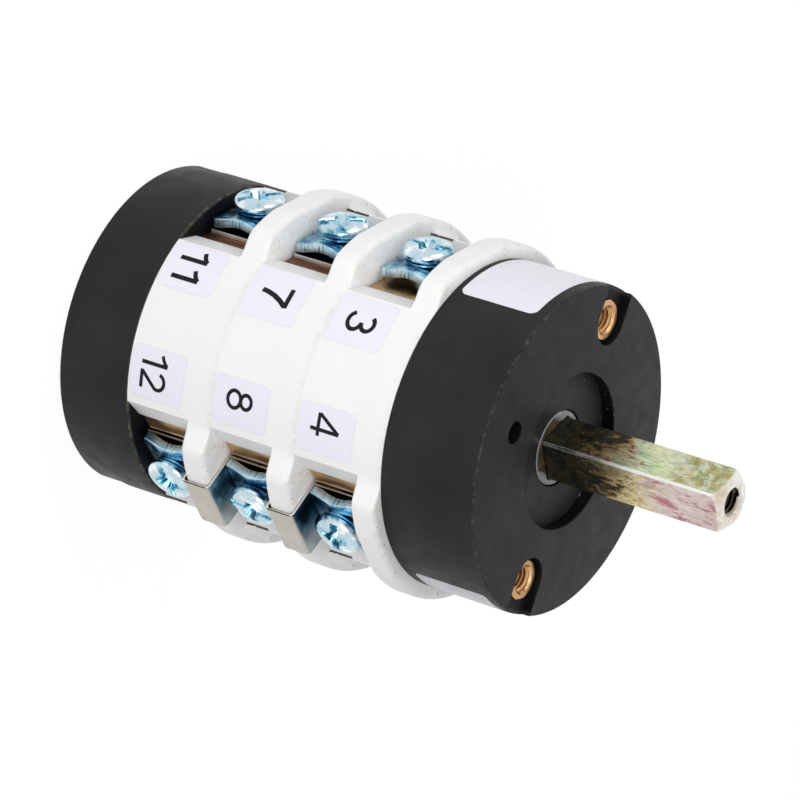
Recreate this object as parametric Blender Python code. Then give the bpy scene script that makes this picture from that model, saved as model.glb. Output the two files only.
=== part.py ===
"""Rotary switch of a tire changer, as a set of separate solids.

Three contact stages are stacked between a rear cap and a front housing. A square shaft
turns 45 degrees each way and springs back to the middle. Cams on it push contact carriers
outward, and each carrier bridges two screw terminals.

The shaft runs along +Z and the rear face lies at Z = 0. Angles are counted from the near
side, -Y, towards +X. A pocket's own directions are outward and along, seen square to its
terminal. All lengths are in metres.
"""
from math import acos, asin, cos, pi, radians, sin

import bmesh
import bpy
from mathutils import Euler, Matrix

MM = 0.001

# Clearances
CLEAR = 0.3 * MM
SEAM = 0.2 * MM

# Stack of mouldings
BODY_RADIUS = 31.0 * MM
CAP_LENGTH = 16.0 * MM
CORE_LENGTH = 14.0 * MM
FLANGE_THICKNESS = 5.0 * MM
FLANGE_RISE = 2.75 * MM
FLANGE_REAR_ROUNDING = 0.8 * MM
FLANGE_FRONT_ROUNDING = 1.1 * MM
HOUSING_LENGTH = 20.0 * MM
EDGE_ROUNDING = 0.4 * MM
STAGES = 3

# Near and far blocks, terminal pockets and ribs of a stage
BLOCK_HALF_ANGLE = radians(30.2)
FLANGE_FULL_ANGLE = radians(40.0)
TERMINAL_ANGLE = radians(60.0)
POCKET_DEPTH = 6.9 * MM
POCKET_NEAR_WALL = 10.1 * MM
SHOULDER_DEPTH = 5.2 * MM
STRAP_SEAT_DEPTH = 0.45 * MM
RIB_HALF_WIDTH = 5.0 * MM

# Square shaft and its rear journal
SHAFT_FLATS = 8.8 * MM
SHAFT_CORNER_RADIUS = 5.85 * MM
SHAFT_REACH = 34.5 * MM
SHAFT_END_CHAMFER = 1.0 * MM
SHAFT_HOLE_RADIUS = 2.1 * MM
SHAFT_HOLE_DEPTH = 12.0 * MM
JOURNAL_RADIUS = 3.9 * MM
JOURNAL_LENGTH = 11.0 * MM

# Cams and contact travel
SWITCH_ANGLE = radians(45.0)
CAM_WALL = 3.65 * MM
CAM_LIFT = 1.8 * MM
CAM_THICKNESS = 6.0 * MM
CAM_HUB_RADIUS = 7.4 * MM
CAM_POINTS = 40
OPEN_GAP_AT_LIMIT = 0.25 * MM

# Contact carriers, bridging contacts and their springs
NOSE_RADIUS = 1.5 * MM
NOSE_TO_WINDOW = 3.35 * MM
CARRIER_HALF_WIDTH = 4.0 * MM
CARRIER_HEIGHT = 7.0 * MM
CARRIER_TAIL = 2.4 * MM
BRIDGE_HALF_LENGTH = 11.5 * MM
BRIDGE_WIDTH = 5.0 * MM
BRIDGE_THICKNESS = 1.0 * MM
PAD_THICKNESS = 0.8 * MM
PAD_START = 6.5 * MM
PAD_END = 10.5 * MM
BLOCK_WALL = 4.0 * MM
SPRING_RADIUS = 2.6 * MM
SPRING_WIRE = 0.25 * MM
SPRING_TURNS = 3.5

# Terminals, clamp screws and jumper links
STRIP_THICKNESS = 1.0 * MM
STRIP_END_GAP = 0.5 * MM
LEG_WIDTH = 8.0 * MM
STRIP_FAR_END = 7.0 * MM
CHAMBER_HALF_WIDTH = 13.0 * MM
SCREW_RADIUS = 2.5 * MM
SCREW_DEPTH = 5.0 * MM
SADDLE_END_GAP = 1.1 * MM
SADDLE_HALF_WIDTH = 6.4 * MM
SADDLE_THICKNESS = 1.3 * MM
SADDLE_RISE = 1.0 * MM
WASHER_RADIUS = 4.3 * MM
WASHER_THICKNESS = 0.8 * MM
HEAD_RADIUS = 4.8 * MM
HEAD_HEIGHT = 2.2 * MM
HEAD_ROUNDING = 0.9 * MM
LINK_THICKNESS = 0.5 * MM
LINK_HALF_WIDTH = 5.8 * MM

# Tie bolts, mounting inserts and the notches around them
BOLT_EDGE_DISTANCE = 6.4 * MM
BOLT_RADIUS = 1.9 * MM
BOLT_HEAD_RADIUS = 3.9 * MM
BOLT_HEAD_HEIGHT = 3.5 * MM
BOLT_ENGAGEMENT = 5.0 * MM
NOTCH_RADIUS = 4.45 * MM
REAR_NOTCH_DEPTH = 5.5 * MM
FRONT_NOTCH_DEPTH = 1.5 * MM
INSERT_RADIUS = 3.8 * MM
INSERT_BORE = 2.2 * MM
INSERT_LENGTH = 12.0 * MM
INSERT_FACE_DEPTH = 1.1 * MM

# Front recess, locating hole, return hub and torsion spring
RECESS_RIM = 16.3 * MM
RECESS_DEPTH = 2.5 * MM
LOCATING_EDGE_DISTANCE = 10.0 * MM
LOCATING_RADIUS = 2.1 * MM
LOCATING_DEPTH = 8.0 * MM
FRONT_WALL = 5.0 * MM
HUB_RADIUS = 7.0 * MM
HUB_DISC_RADIUS = 9.9 * MM
HUB_DISC_THICKNESS = 2.4 * MM
RETURN_CHAMBER_RADIUS = 13.0 * MM
STOP_RADIUS = 10.3 * MM
STOP_HALF_ANGLE = radians(12.0)
STOP_MARGIN = radians(2.0)
LUG_ANGLE = radians(20.0)
POST_HALF_ANGLE = radians(8.0)
POST_THICKNESS = 0.9 * MM
FINGER_THICKNESS = 1.1 * MM
TORSION_RADIUS = 9.0 * MM
TORSION_WIRE = 0.6 * MM
TORSION_TURNS = 3

# Places that follow from the sizes above
FLANGE_RADIUS = BODY_RADIUS + FLANGE_RISE
STRAP_SEAT = FLANGE_RADIUS - STRAP_SEAT_DEPTH
POCKET_FLOOR = BODY_RADIUS - POCKET_DEPTH
SHOULDER_FOOT = BODY_RADIUS - SHOULDER_DEPTH
BOLT_CIRCLE = BODY_RADIUS - BOLT_EDGE_DISTANCE
LOCATING_CIRCLE = BODY_RADIUS - LOCATING_EDGE_DISTANCE
RECESS_RADIUS = BODY_RADIUS - RECESS_RIM
CAM_RADIUS = SHAFT_CORNER_RADIUS + CAM_WALL
SADDLE_HALF_LENGTH = CORE_LENGTH / 2 - SADDLE_END_GAP
STRIP_HALF_WIDTH = CORE_LENGTH / 2 - STRIP_END_GAP
PITCH = CORE_LENGTH + FLANGE_THICKNESS
STACK_TOP = CAP_LENGTH + STAGES * PITCH
FRONT_FACE = STACK_TOP + HOUSING_LENGTH
RECESS_FLOOR = FRONT_FACE - RECESS_DEPTH
CHAMBER_TOP = RECESS_FLOOR - FRONT_WALL
INSERT_FACE = FRONT_FACE - INSERT_FACE_DEPTH
INSERT_FOOT = INSERT_FACE - INSERT_LENGTH
SHAFT_FOOT = CAP_LENGTH - JOURNAL_LENGTH
SHAFT_TOP = FRONT_FACE + SHAFT_REACH
SHAFT_BORE_RADIUS = SHAFT_CORNER_RADIUS + 2 * CLEAR
BOLT_HOLE_RADIUS = BOLT_RADIUS + CLEAR

# Reach of the moving contacts from the axis, with the switch in the middle
NOSE_TIP = CAM_RADIUS + CLEAR
WINDOW_INNER = NOSE_TIP + NOSE_TO_WINDOW
BRIDGE_INNER = WINDOW_INNER + CLEAR
BRIDGE_OUTER = BRIDGE_INNER + BRIDGE_THICKNESS
WINDOW_OUTER = BRIDGE_OUTER + CLEAR
FIXED_PAD_FACE = BRIDGE_OUTER + PAD_THICKNESS + CAM_LIFT + OPEN_GAP_AT_LIMIT
LEG_INNER = FIXED_PAD_FACE + PAD_THICKNESS
LEG_OUTER = LEG_INNER + STRIP_THICKNESS
CHAMBER_HALF_DEPTH = LEG_OUTER + CLEAR
CARRIER_END = CHAMBER_HALF_DEPTH + CARRIER_TAIL
CHANNEL_END = BODY_RADIUS - BLOCK_WALL
LEG_TIP = CARRIER_HALF_WIDTH + 5 * CLEAR

# Heights of the stacked clamp pieces over the pocket floor
STRIP_TOP = POCKET_FLOOR + CLEAR + STRIP_THICKNESS
LINK_FOOT = STRIP_TOP + CLEAR
SADDLE_FOOT = LINK_FOOT + LINK_THICKNESS + CLEAR
SADDLE_TOP = SADDLE_FOOT + SADDLE_RISE + SADDLE_THICKNESS
WASHER_TOP = SADDLE_TOP + WASHER_THICKNESS
HEAD_TOP = WASHER_TOP + HEAD_HEIGHT
SCREW_HOLE_RADIUS = SCREW_RADIUS + CLEAR

# Name, and turn about X, Y and Z that carries the near right pocket to each of the four
QUARTERS = (
    ("near_right", (0, 0, 0)),
    ("near_left", (0, pi, 0)),
    ("far_right", (pi, 0, 0)),
    ("far_left", (0, 0, pi)),
)
SIDES = (("near", 0), ("far", pi))


def clear_scene():
    for old in list(bpy.data.objects):
        bpy.data.objects.remove(old)


def material(name, colour, roughness, metallic=0.0):
    made = bpy.data.materials.new(name)
    made.use_nodes = True
    shader = made.node_tree.nodes["Principled BSDF"]
    shader.inputs["Base Color"].default_value = (*colour, 1)
    shader.inputs["Roughness"].default_value = roughness
    shader.inputs["Metallic"].default_value = metallic
    made.diffuse_color = (*colour, 1)
    return made


def add_object(name, mesh, finish, parent, location=(0, 0, 0), rotation=(0, 0, 0)):
    """Place a mesh as a named object with its material."""
    if not mesh.materials:
        mesh.materials.append(finish)
    piece = bpy.data.objects.new(name, mesh)
    piece.location = location
    piece.rotation_euler = rotation
    piece.parent = parent
    bpy.context.collection.objects.link(piece)
    return piece


def add_empty(name):
    empty = bpy.data.objects.new(name, None)
    bpy.context.collection.objects.link(empty)
    return empty


# Outlines

def polar(radius, angle):
    """Point at an angle counted from -Y towards +X."""
    return radius * sin(angle), -radius * cos(angle)


def arc(radius, start, end, steps):
    return [polar(radius, start + (end - start) * i / steps) for i in range(steps + 1)]


def circle(radius, steps, centre=(0, 0)):
    ring = arc(radius, 0, 2 * pi, steps)[:-1]
    return [(x + centre[0], y + centre[1]) for x, y in ring]


def rectangle(x0, y0, x1, y1):
    return [(x0, y0), (x1, y0), (x1, y1), (x0, y1)]


def in_pocket(outward, along):
    """Point of the near right pocket."""
    x = outward * sin(TERMINAL_ANGLE) + along * cos(TERMINAL_ANGLE)
    y = -outward * cos(TERMINAL_ANGLE) + along * sin(TERMINAL_ANGLE)
    return x, y


def four_fold(quarter):
    """Full outline from the quarter between -Y and +X."""
    half = quarter + [(x, -y) for x, y in reversed(quarter[:-1])]
    return half[:-1] + [(-x, -y) for x, y in half[:-1]]


def core_outline():
    """Near and far blocks with broken shoulders, four pockets and two ribs."""
    quarter = arc(BODY_RADIUS, 0, BLOCK_HALF_ANGLE, 6)
    quarter.append(in_pocket(SHOULDER_FOOT, -POCKET_NEAR_WALL))
    quarter.append(in_pocket(POCKET_FLOOR, -POCKET_NEAR_WALL))
    rib_foot = (POCKET_FLOOR * cos(TERMINAL_ANGLE) - RIB_HALF_WIDTH) / sin(TERMINAL_ANGLE)
    quarter.append(in_pocket(POCKET_FLOOR, rib_foot))
    quarter += arc(BODY_RADIUS, acos(RIB_HALF_WIDTH / BODY_RADIUS), pi / 2, 2)
    return four_fold(quarter)


def flange_outline(inset):
    """Flange with level label recesses and a flat seat at each terminal."""
    seat_half_angle = acos(STRAP_SEAT / FLANGE_RADIUS)
    quarter = arc(BODY_RADIUS, 0, BLOCK_HALF_ANGLE, 6)
    rise = FLANGE_RADIUS - BODY_RADIUS
    for share in (0.25, 0.5, 0.75):
        angle = BLOCK_HALF_ANGLE + (FLANGE_FULL_ANGLE - BLOCK_HALF_ANGLE) * share
        height = share * share * (3 - 2 * share)
        quarter.append(polar(BODY_RADIUS + (rise - inset) * height, angle))
    outer = FLANGE_RADIUS - inset
    quarter += arc(outer, FLANGE_FULL_ANGLE, TERMINAL_ANGLE - seat_half_angle, 2)
    quarter += arc(outer, TERMINAL_ANGLE + seat_half_angle, pi / 2, 3)
    return four_fold(quarter)


def chamber_outline():
    """Room of the bridging contacts, with a guide channel for each carrier."""
    channel = CARRIER_HALF_WIDTH + CLEAR
    quarter = [
        (0, -CHANNEL_END),
        (channel, -CHANNEL_END),
        (channel, -CHAMBER_HALF_DEPTH),
        (CHAMBER_HALF_WIDTH, -CHAMBER_HALF_DEPTH),
        (CHAMBER_HALF_WIDTH, 0),
    ]
    return four_fold(quarter)


def notch_outline(side):
    """U-shaped notch, open through the rim, on the +X or -X side."""
    ring = arc(NOTCH_RADIUS, pi, 2 * pi, 10)
    points = [(x + BOLT_CIRCLE, y) for x, y in ring]
    reach = BODY_RADIUS + NOTCH_RADIUS
    points += [(reach, -NOTCH_RADIUS), (reach, NOTCH_RADIUS)]
    return [(side * x, side * y) for x, y in points]


def square_outline(clearance=0.0):
    """Square with broken corners that point along X and Y."""
    corner = SHAFT_CORNER_RADIUS + clearance
    flats = SHAFT_FLATS / 2 + clearance
    short = flats * 2 ** 0.5 - corner
    right = [(short, -corner), (corner, -short), (corner, short), (short, corner)]
    return right + [(-x, -y) for x, y in right]


def cam_radius(angle):
    """Spiral of constant rise: rising one way for the near carrier, the other for the far."""
    rate = CAM_LIFT / SWITCH_ANGLE
    turn = (angle + pi) % (2 * pi) - pi
    near = max(-SWITCH_ANGLE, min(SWITCH_ANGLE, turn))
    if abs(turn) <= pi / 2:
        return CAM_RADIUS - rate * near
    past = turn % (2 * pi) - pi
    far = max(-SWITCH_ANGLE, min(SWITCH_ANGLE, past))
    return CAM_RADIUS + rate * far


# Solids

def skin(name, rings):
    """Closed mesh through rings of points, first ring lowest, each ring counter-clockwise."""
    builder = bmesh.new()
    loops = [[builder.verts.new(point) for point in ring] for ring in rings]
    count = len(loops[0])
    for low, high in zip(loops, loops[1:]):
        for i in range(count):
            j = (i + 1) % count
            builder.faces.new((low[i], low[j], high[j], high[i]))
    builder.faces.new(list(reversed(loops[0])))
    builder.faces.new(loops[-1])
    mesh = bpy.data.meshes.new(name)
    builder.to_mesh(mesh)
    builder.free()
    return mesh


def prism(name, outline, z0, z1):
    return skin(name, [[(x, y, z) for x, y in outline] for z in (z0, z1)])


def stacked(name, levels):
    """Solid from (z, outline) pairs with equal point counts."""
    return skin(name, [[(x, y, z) for x, y in outline] for z, outline in levels])


def turned(name, profile, steps, centre=(0, 0)):
    """Solid of revolution about Z from (radius, z) pairs, lowest first."""
    return stacked(name, [(z, circle(radius, steps, centre)) for radius, z in profile])


def smoothed(mesh):
    mesh.shade_smooth()
    mesh.set_sharp_from_angle(angle=radians(35))
    return mesh


def combined(body, tools, operation):
    """Cut the tool meshes from a mesh, or join them to it."""
    blank = bpy.data.objects.new(body.name, body)
    bpy.context.collection.objects.link(blank)
    helpers = []
    for mesh in tools:
        helper = bpy.data.objects.new(mesh.name, mesh)
        bpy.context.collection.objects.link(helper)
        boolean = blank.modifiers.new(mesh.name, "BOOLEAN")
        boolean.object = helper
        boolean.operation = operation
        boolean.solver = "EXACT"
        helpers.append(helper)
    graph = bpy.context.evaluated_depsgraph_get()
    result = bpy.data.meshes.new_from_object(blank.evaluated_get(graph))
    result.name = body.name
    for used in [blank] + helpers:
        bpy.data.objects.remove(used)
    return result


def cut(body, tools):
    return combined(body, tools, "DIFFERENCE")


def joined(body, tools):
    return combined(body, tools, "UNION")


def pocket_mesh(mesh):
    """Turn a mesh made about +Z, foot at the axis, to stand outward in the near right pocket."""
    for vertex in mesh.vertices:
        across, up, outward = vertex.co
        x, y = in_pocket(outward, across)
        vertex.co = (x, y, up)
    return mesh


def bolt_holes(z0, z1):
    return [turned("bolt_hole", [(BOLT_HOLE_RADIUS, z0), (BOLT_HOLE_RADIUS, z1)], 14,
                   (side * BOLT_CIRCLE, 0)) for side in (-1, 1)]


# Mouldings

def rear_cap_mesh():
    body = turned("rear_cap", [
        (BODY_RADIUS - EDGE_ROUNDING, 0),
        (BODY_RADIUS, EDGE_ROUNDING),
        (BODY_RADIUS, CAP_LENGTH - EDGE_ROUNDING),
        (BODY_RADIUS - EDGE_ROUNDING, CAP_LENGTH),
    ], 60)
    bore = JOURNAL_RADIUS + CLEAR
    tools = bolt_holes(-CLEAR, CAP_LENGTH + CLEAR)
    tools.append(turned("journal_bore", [
        (bore, SHAFT_FOOT - CLEAR),
        (bore, CAP_LENGTH + CLEAR),
    ], 24))
    tools += [prism("notch", notch_outline(side), -CLEAR, REAR_NOTCH_DEPTH) for side in (-1, 1)]
    return cut(body, tools)


def stage_mesh():
    """One stage moulding, its rear face at Z = 0 and the middle of its pockets above that."""
    core = prism("stage", core_outline(), SEAM, CORE_LENGTH + FLANGE_REAR_ROUNDING)
    flange = stacked("flange", [
        (CORE_LENGTH, flange_outline(FLANGE_REAR_ROUNDING)),
        (CORE_LENGTH + FLANGE_REAR_ROUNDING * 0.3, flange_outline(FLANGE_REAR_ROUNDING * 0.3)),
        (CORE_LENGTH + FLANGE_REAR_ROUNDING, flange_outline(0)),
        (PITCH - FLANGE_FRONT_ROUNDING, flange_outline(0)),
        (PITCH - FLANGE_FRONT_ROUNDING * 0.3, flange_outline(FLANGE_FRONT_ROUNDING * 0.3)),
        (PITCH, flange_outline(FLANGE_FRONT_ROUNDING)),
    ])
    body = joined(core, [flange])
    tools = [prism("chamber", chamber_outline(), -CLEAR, CORE_LENGTH)]
    tools.append(turned("shaft_hole", [(SHAFT_BORE_RADIUS, 0), (SHAFT_BORE_RADIUS, PITCH + CLEAR)], 24))
    tools += bolt_holes(-CLEAR, PITCH + CLEAR)
    middle = CORE_LENGTH / 2
    slot_top = middle + LEG_WIDTH / 2 + CLEAR
    slot_end = (POCKET_FLOOR - LEG_INNER * cos(TERMINAL_ANGLE)) / sin(TERMINAL_ANGLE) + CLEAR
    for x_side in (-1, 1):
        for y_side in (-1, 1):
            xs = sorted((x_side * (CHAMBER_HALF_WIDTH - CLEAR), x_side * slot_end))
            ys = sorted((y_side * (LEG_INNER - CLEAR), y_side * CHAMBER_HALF_DEPTH))
            outline = rectangle(xs[0], ys[0], xs[1], ys[1])
            tools.append(prism("leg_slot", outline, -CLEAR, slot_top))
    for _, turn in QUARTERS:
        hole = pocket_mesh(turned("screw_hole", [
            (SCREW_HOLE_RADIUS, POCKET_FLOOR - SCREW_DEPTH - CLEAR),
            (SCREW_HOLE_RADIUS, POCKET_FLOOR + CLEAR),
        ], 12))
        hole.transform(Matrix.Translation((0, 0, middle)) @ Euler(turn).to_matrix().to_4x4())
        tools.append(hole)
    return cut(body, tools)


def housing_mesh():
    """Front housing: return chamber behind, recess, notches and holes in front."""
    body = turned("front_housing", [
        (BODY_RADIUS, STACK_TOP + SEAM),
        (BODY_RADIUS, FRONT_FACE - EDGE_ROUNDING),
        (BODY_RADIUS - EDGE_ROUNDING, FRONT_FACE),
    ], 60)
    post_inner = RETURN_CHAMBER_RADIUS - POST_THICKNESS
    chamber = arc(RETURN_CHAMBER_RADIUS, -pi / 2 + POST_HALF_ANGLE, pi / 2 - STOP_HALF_ANGLE, 12)
    chamber += arc(STOP_RADIUS, pi / 2 - STOP_HALF_ANGLE, pi / 2 + STOP_HALF_ANGLE, 4)
    chamber += arc(RETURN_CHAMBER_RADIUS, pi / 2 + STOP_HALF_ANGLE, 3 * pi / 2 - POST_HALF_ANGLE, 12)
    chamber += arc(post_inner, 3 * pi / 2 - POST_HALF_ANGLE, 3 * pi / 2 + POST_HALF_ANGLE, 4)
    hub_bore = HUB_RADIUS + CLEAR
    insert_bore = INSERT_RADIUS + SEAM
    tools = [
        prism("return_chamber", chamber, STACK_TOP, CHAMBER_TOP),
        turned("recess", [(RECESS_RADIUS, RECESS_FLOOR), (RECESS_RADIUS, SHAFT_TOP)], 40),
        turned("hub_bore", [(hub_bore, STACK_TOP), (hub_bore, SHAFT_TOP)], 28),
        turned("locating_hole", [
            (LOCATING_RADIUS, FRONT_FACE - LOCATING_DEPTH),
            (LOCATING_RADIUS, SHAFT_TOP),
        ], 16, polar(LOCATING_CIRCLE, 0)),
    ]
    tools += bolt_holes(STACK_TOP, SHAFT_TOP)
    for side in (-1, 1):
        centre = (side * BOLT_CIRCLE, 0)
        tools.append(turned("insert_bore", [
            (insert_bore, INSERT_FOOT - CLEAR),
            (insert_bore, SHAFT_TOP),
        ], 20, centre))
        tools.append(prism("notch", notch_outline(side), FRONT_FACE - FRONT_NOTCH_DEPTH, SHAFT_TOP))
    return cut(body, tools)


# Turning parts

def shaft_mesh():
    square_foot = CAP_LENGTH + CLEAR
    taper = 1 - SHAFT_END_CHAMFER / SHAFT_CORNER_RADIUS
    body = stacked("drive_shaft", [
        (square_foot, square_outline()),
        (SHAFT_TOP - SHAFT_END_CHAMFER, square_outline()),
        (SHAFT_TOP, [(x * taper, y * taper) for x, y in square_outline()]),
    ])
    journal = turned("journal", [
        (JOURNAL_RADIUS, SHAFT_FOOT),
        (JOURNAL_RADIUS, square_foot + CLEAR),
    ], 24)
    hole = turned("shaft_thread", [
        (SHAFT_HOLE_RADIUS, SHAFT_TOP - SHAFT_HOLE_DEPTH),
        (SHAFT_HOLE_RADIUS, SHAFT_TOP - CLEAR),
        (SHAFT_HOLE_RADIUS + 2 * CLEAR, SHAFT_TOP + CLEAR),
    ], 24)
    return cut(joined(body, [journal]), [hole])


def cam_mesh():
    """Cam plate and hub, middle of the plate at Z = 0."""
    angles = [2 * pi * i / CAM_POINTS for i in range(CAM_POINTS)]
    plate = prism("cam", [polar(cam_radius(angle), angle) for angle in angles],
                  -CAM_THICKNESS / 2, CAM_THICKNESS / 2)
    middle = CORE_LENGTH / 2
    hub = turned("cam_hub", [
        (CAM_HUB_RADIUS, SEAM + CLEAR - middle),
        (CAM_HUB_RADIUS, middle - CLEAR),
    ], 24)
    bore = prism("cam_bore", square_outline(CLEAR), -CORE_LENGTH, CORE_LENGTH)
    return cut(joined(plate, [hub]), [bore])


def hub_mesh():
    """Return hub: drum through the front wall, disc with two stop lugs, and spring finger."""
    foot = STACK_TOP + SEAM + CLEAR
    disc_top = foot + HUB_DISC_THICKNESS
    finger_outer = RETURN_CHAMBER_RADIUS - POST_THICKNESS - CLEAR
    lug_outer = RETURN_CHAMBER_RADIUS - CLEAR
    lug_start = pi / 2 + STOP_HALF_ANGLE + SWITCH_ANGLE + STOP_MARGIN
    lug_end = lug_start + LUG_ANGLE
    half = arc(HUB_DISC_RADIUS, pi / 2, lug_start, 8)
    half += arc(lug_outer, lug_start, lug_end, 3)
    half += arc(HUB_DISC_RADIUS, lug_end, 3 * pi / 2 - POST_HALF_ANGLE, 6)
    half += arc(finger_outer, 3 * pi / 2 - POST_HALF_ANGLE, 3 * pi / 2, 2)
    disc_outline = half + [(x, -y) for x, y in reversed(half[1:-1])]
    body = prism("return_hub", disc_outline, foot, disc_top)
    drum = turned("drum", [(HUB_RADIUS, foot), (HUB_RADIUS, RECESS_FLOOR)], 28)
    finger_inner = finger_outer - FINGER_THICKNESS
    finger = arc(finger_outer, 3 * pi / 2 - POST_HALF_ANGLE, 3 * pi / 2 + POST_HALF_ANGLE, 4)
    finger += arc(finger_inner, 3 * pi / 2 + POST_HALF_ANGLE, 3 * pi / 2 - POST_HALF_ANGLE, 4)
    finger_solid = prism("finger", finger, foot, CHAMBER_TOP - CLEAR)
    bore = prism("hub_square", square_outline(CLEAR), STACK_TOP, SHAFT_TOP)
    return cut(joined(body, [drum, finger_solid]), [bore])


# Contacts

def carrier_mesh():
    """Near carrier, nose towards the axis, with a window for the bridging contact."""
    nose = [(x, -NOSE_TIP - NOSE_RADIUS - y) for x, y in arc(NOSE_RADIUS, pi / 2, -pi / 2, 6)]
    shoulder = -NOSE_TIP - 2 * NOSE_RADIUS
    outline = [
        (-NOSE_RADIUS, shoulder),
        (-CARRIER_HALF_WIDTH, shoulder),
        (-CARRIER_HALF_WIDTH, -CARRIER_END),
        (CARRIER_HALF_WIDTH, -CARRIER_END),
        (CARRIER_HALF_WIDTH, shoulder),
        (NOSE_RADIUS, shoulder),
    ] + nose
    body = prism("contact_carrier", outline, -CARRIER_HEIGHT / 2, CARRIER_HEIGHT / 2)
    reach = CARRIER_HALF_WIDTH + CLEAR
    half = BRIDGE_WIDTH / 2 + CLEAR
    window = prism("window", rectangle(-reach, -WINDOW_OUTER, reach, -WINDOW_INNER), -half, half)
    return cut(body, [window])


def bridge_mesh():
    """Near bridging contact with a pad at each end."""
    right = [
        (PAD_START, -BRIDGE_OUTER),
        (PAD_START, -BRIDGE_OUTER - PAD_THICKNESS),
        (PAD_END, -BRIDGE_OUTER - PAD_THICKNESS),
        (PAD_END, -BRIDGE_OUTER),
        (BRIDGE_HALF_LENGTH, -BRIDGE_OUTER),
        (BRIDGE_HALF_LENGTH, -BRIDGE_INNER),
    ]
    outline = right + [(-x, y) for x, y in reversed(right)]
    return prism("bridging_contact", outline, -BRIDGE_WIDTH / 2, BRIDGE_WIDTH / 2)


def terminal_mesh():
    """Near right terminal: plate on the pocket floor, leg into the chamber, contact pad."""
    inner = POCKET_FLOOR + CLEAR
    near_end = CLEAR - POCKET_NEAR_WALL
    plate = prism("fixed_terminal", [
        in_pocket(STRIP_TOP, near_end),
        in_pocket(STRIP_TOP, STRIP_FAR_END),
        in_pocket(inner, STRIP_FAR_END),
        in_pocket(inner, near_end),
    ], -STRIP_HALF_WIDTH, STRIP_HALF_WIDTH)

    def plate_x(y):
        """Place at height Y in the middle of the plate's thickness."""
        return ((inner + STRIP_TOP) / 2 + y * cos(TERMINAL_ANGLE)) / sin(TERMINAL_ANGLE)

    leg = prism("leg", [
        (plate_x(-LEG_INNER), -LEG_INNER),
        (PAD_END, -LEG_INNER),
        (PAD_END, -FIXED_PAD_FACE),
        (PAD_START, -FIXED_PAD_FACE),
        (PAD_START, -LEG_INNER),
        (LEG_TIP, -LEG_INNER),
        (LEG_TIP, -LEG_OUTER),
        (plate_x(-LEG_OUTER), -LEG_OUTER),
    ], -LEG_WIDTH / 2, LEG_WIDTH / 2)
    hole = turned("plate_hole", [
        (SCREW_HOLE_RADIUS, inner - CLEAR),
        (SCREW_HOLE_RADIUS, STRIP_TOP + CLEAR),
    ], 16)
    return cut(joined(plate, [leg]), [pocket_mesh(hole)])


def clamp_screw_mesh():
    """Screw with its lock washer and arched saddle, standing outward in the pocket."""
    overlap = SADDLE_THICKNESS / 2
    profile = [
        (SCREW_RADIUS, POCKET_FLOOR - SCREW_DEPTH),
        (SCREW_RADIUS, SADDLE_TOP - overlap),
        (WASHER_RADIUS, SADDLE_TOP - overlap),
        (WASHER_RADIUS, WASHER_TOP),
        (HEAD_RADIUS, WASHER_TOP),
        (HEAD_RADIUS, HEAD_TOP - HEAD_ROUNDING),
        (HEAD_RADIUS - 0.3 * HEAD_ROUNDING, HEAD_TOP - 0.3 * HEAD_ROUNDING),
        (HEAD_RADIUS - HEAD_ROUNDING, HEAD_TOP),
    ]
    body = turned("clamp_screw", profile, 16)
    steps = 8
    lower = []
    for i in range(steps + 1):
        share = 2 * i / steps - 1
        rise = SADDLE_RISE * cos(share * pi / 2) ** 2
        lower.append((share * SADDLE_HALF_LENGTH, SADDLE_FOOT + rise))
    upper = [(z, outward + SADDLE_THICKNESS) for z, outward in reversed(lower)]
    rings = [[(across, z, outward) for z, outward in lower + upper]
             for across in (SADDLE_HALF_WIDTH, -SADDLE_HALF_WIDTH)]
    saddle = skin("saddle", rings)
    return smoothed(pocket_mesh(joined(body, [saddle])))


def link_mesh():
    """Jumper link over a flange, middle of the flange at Z = 0, feet under two saddles."""
    leg = FLANGE_THICKNESS / 2 + CLEAR
    reach = PITCH / 2 - CLEAR
    top = STRAP_SEAT + CLEAR
    thick = LINK_THICKNESS
    right = [
        (leg + thick, top + thick),
        (leg + thick, LINK_FOOT + thick),
        (reach, LINK_FOOT + thick),
        (reach, LINK_FOOT),
        (leg, LINK_FOOT),
        (leg, top),
    ]
    outline = right + [(-z, outward) for z, outward in reversed(right)]
    rings = [[(across, z, outward) for z, outward in outline]
             for across in (-LINK_HALF_WIDTH, LINK_HALF_WIDTH)]
    body = skin("jumper_link", rings)
    tools = []
    for side in (-1, 1):
        centre = (0, side * PITCH / 2)
        tools.append(turned("fork", [
            (SCREW_HOLE_RADIUS, STRIP_TOP),
            (SCREW_HOLE_RADIUS, SADDLE_FOOT),
        ], 16, centre))
    return pocket_mesh(cut(body, tools))


# Springs

def wire(name, points, radius, finish, parent, location=(0, 0, 0), rotation=(0, 0, 0)):
    """Wire through a list of points."""
    curve = bpy.data.curves.new(name, "CURVE")
    curve.dimensions = "3D"
    curve.bevel_depth = radius
    curve.bevel_resolution = 1
    curve.use_fill_caps = True
    spline = curve.splines.new("POLY")
    spline.points.add(len(points) - 1)
    for target, point in zip(spline.points, points):
        target.co = (*point, 1)
    curve.materials.append(finish)
    piece = bpy.data.objects.new(name, curve)
    piece.location = location
    piece.rotation_euler = rotation
    piece.parent = parent
    bpy.context.collection.objects.link(piece)
    return piece


def contact_spring_points():
    start = CARRIER_END + CLEAR + SPRING_WIRE
    end = CHANNEL_END - CLEAR - SPRING_WIRE
    steps = int(SPRING_TURNS * 8)
    points = []
    for i in range(steps + 1):
        x, z = polar(SPRING_RADIUS, 2 * pi * SPRING_TURNS * i / steps)
        points.append((x, -start - (end - start) * i / steps, z))
    return points


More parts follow.
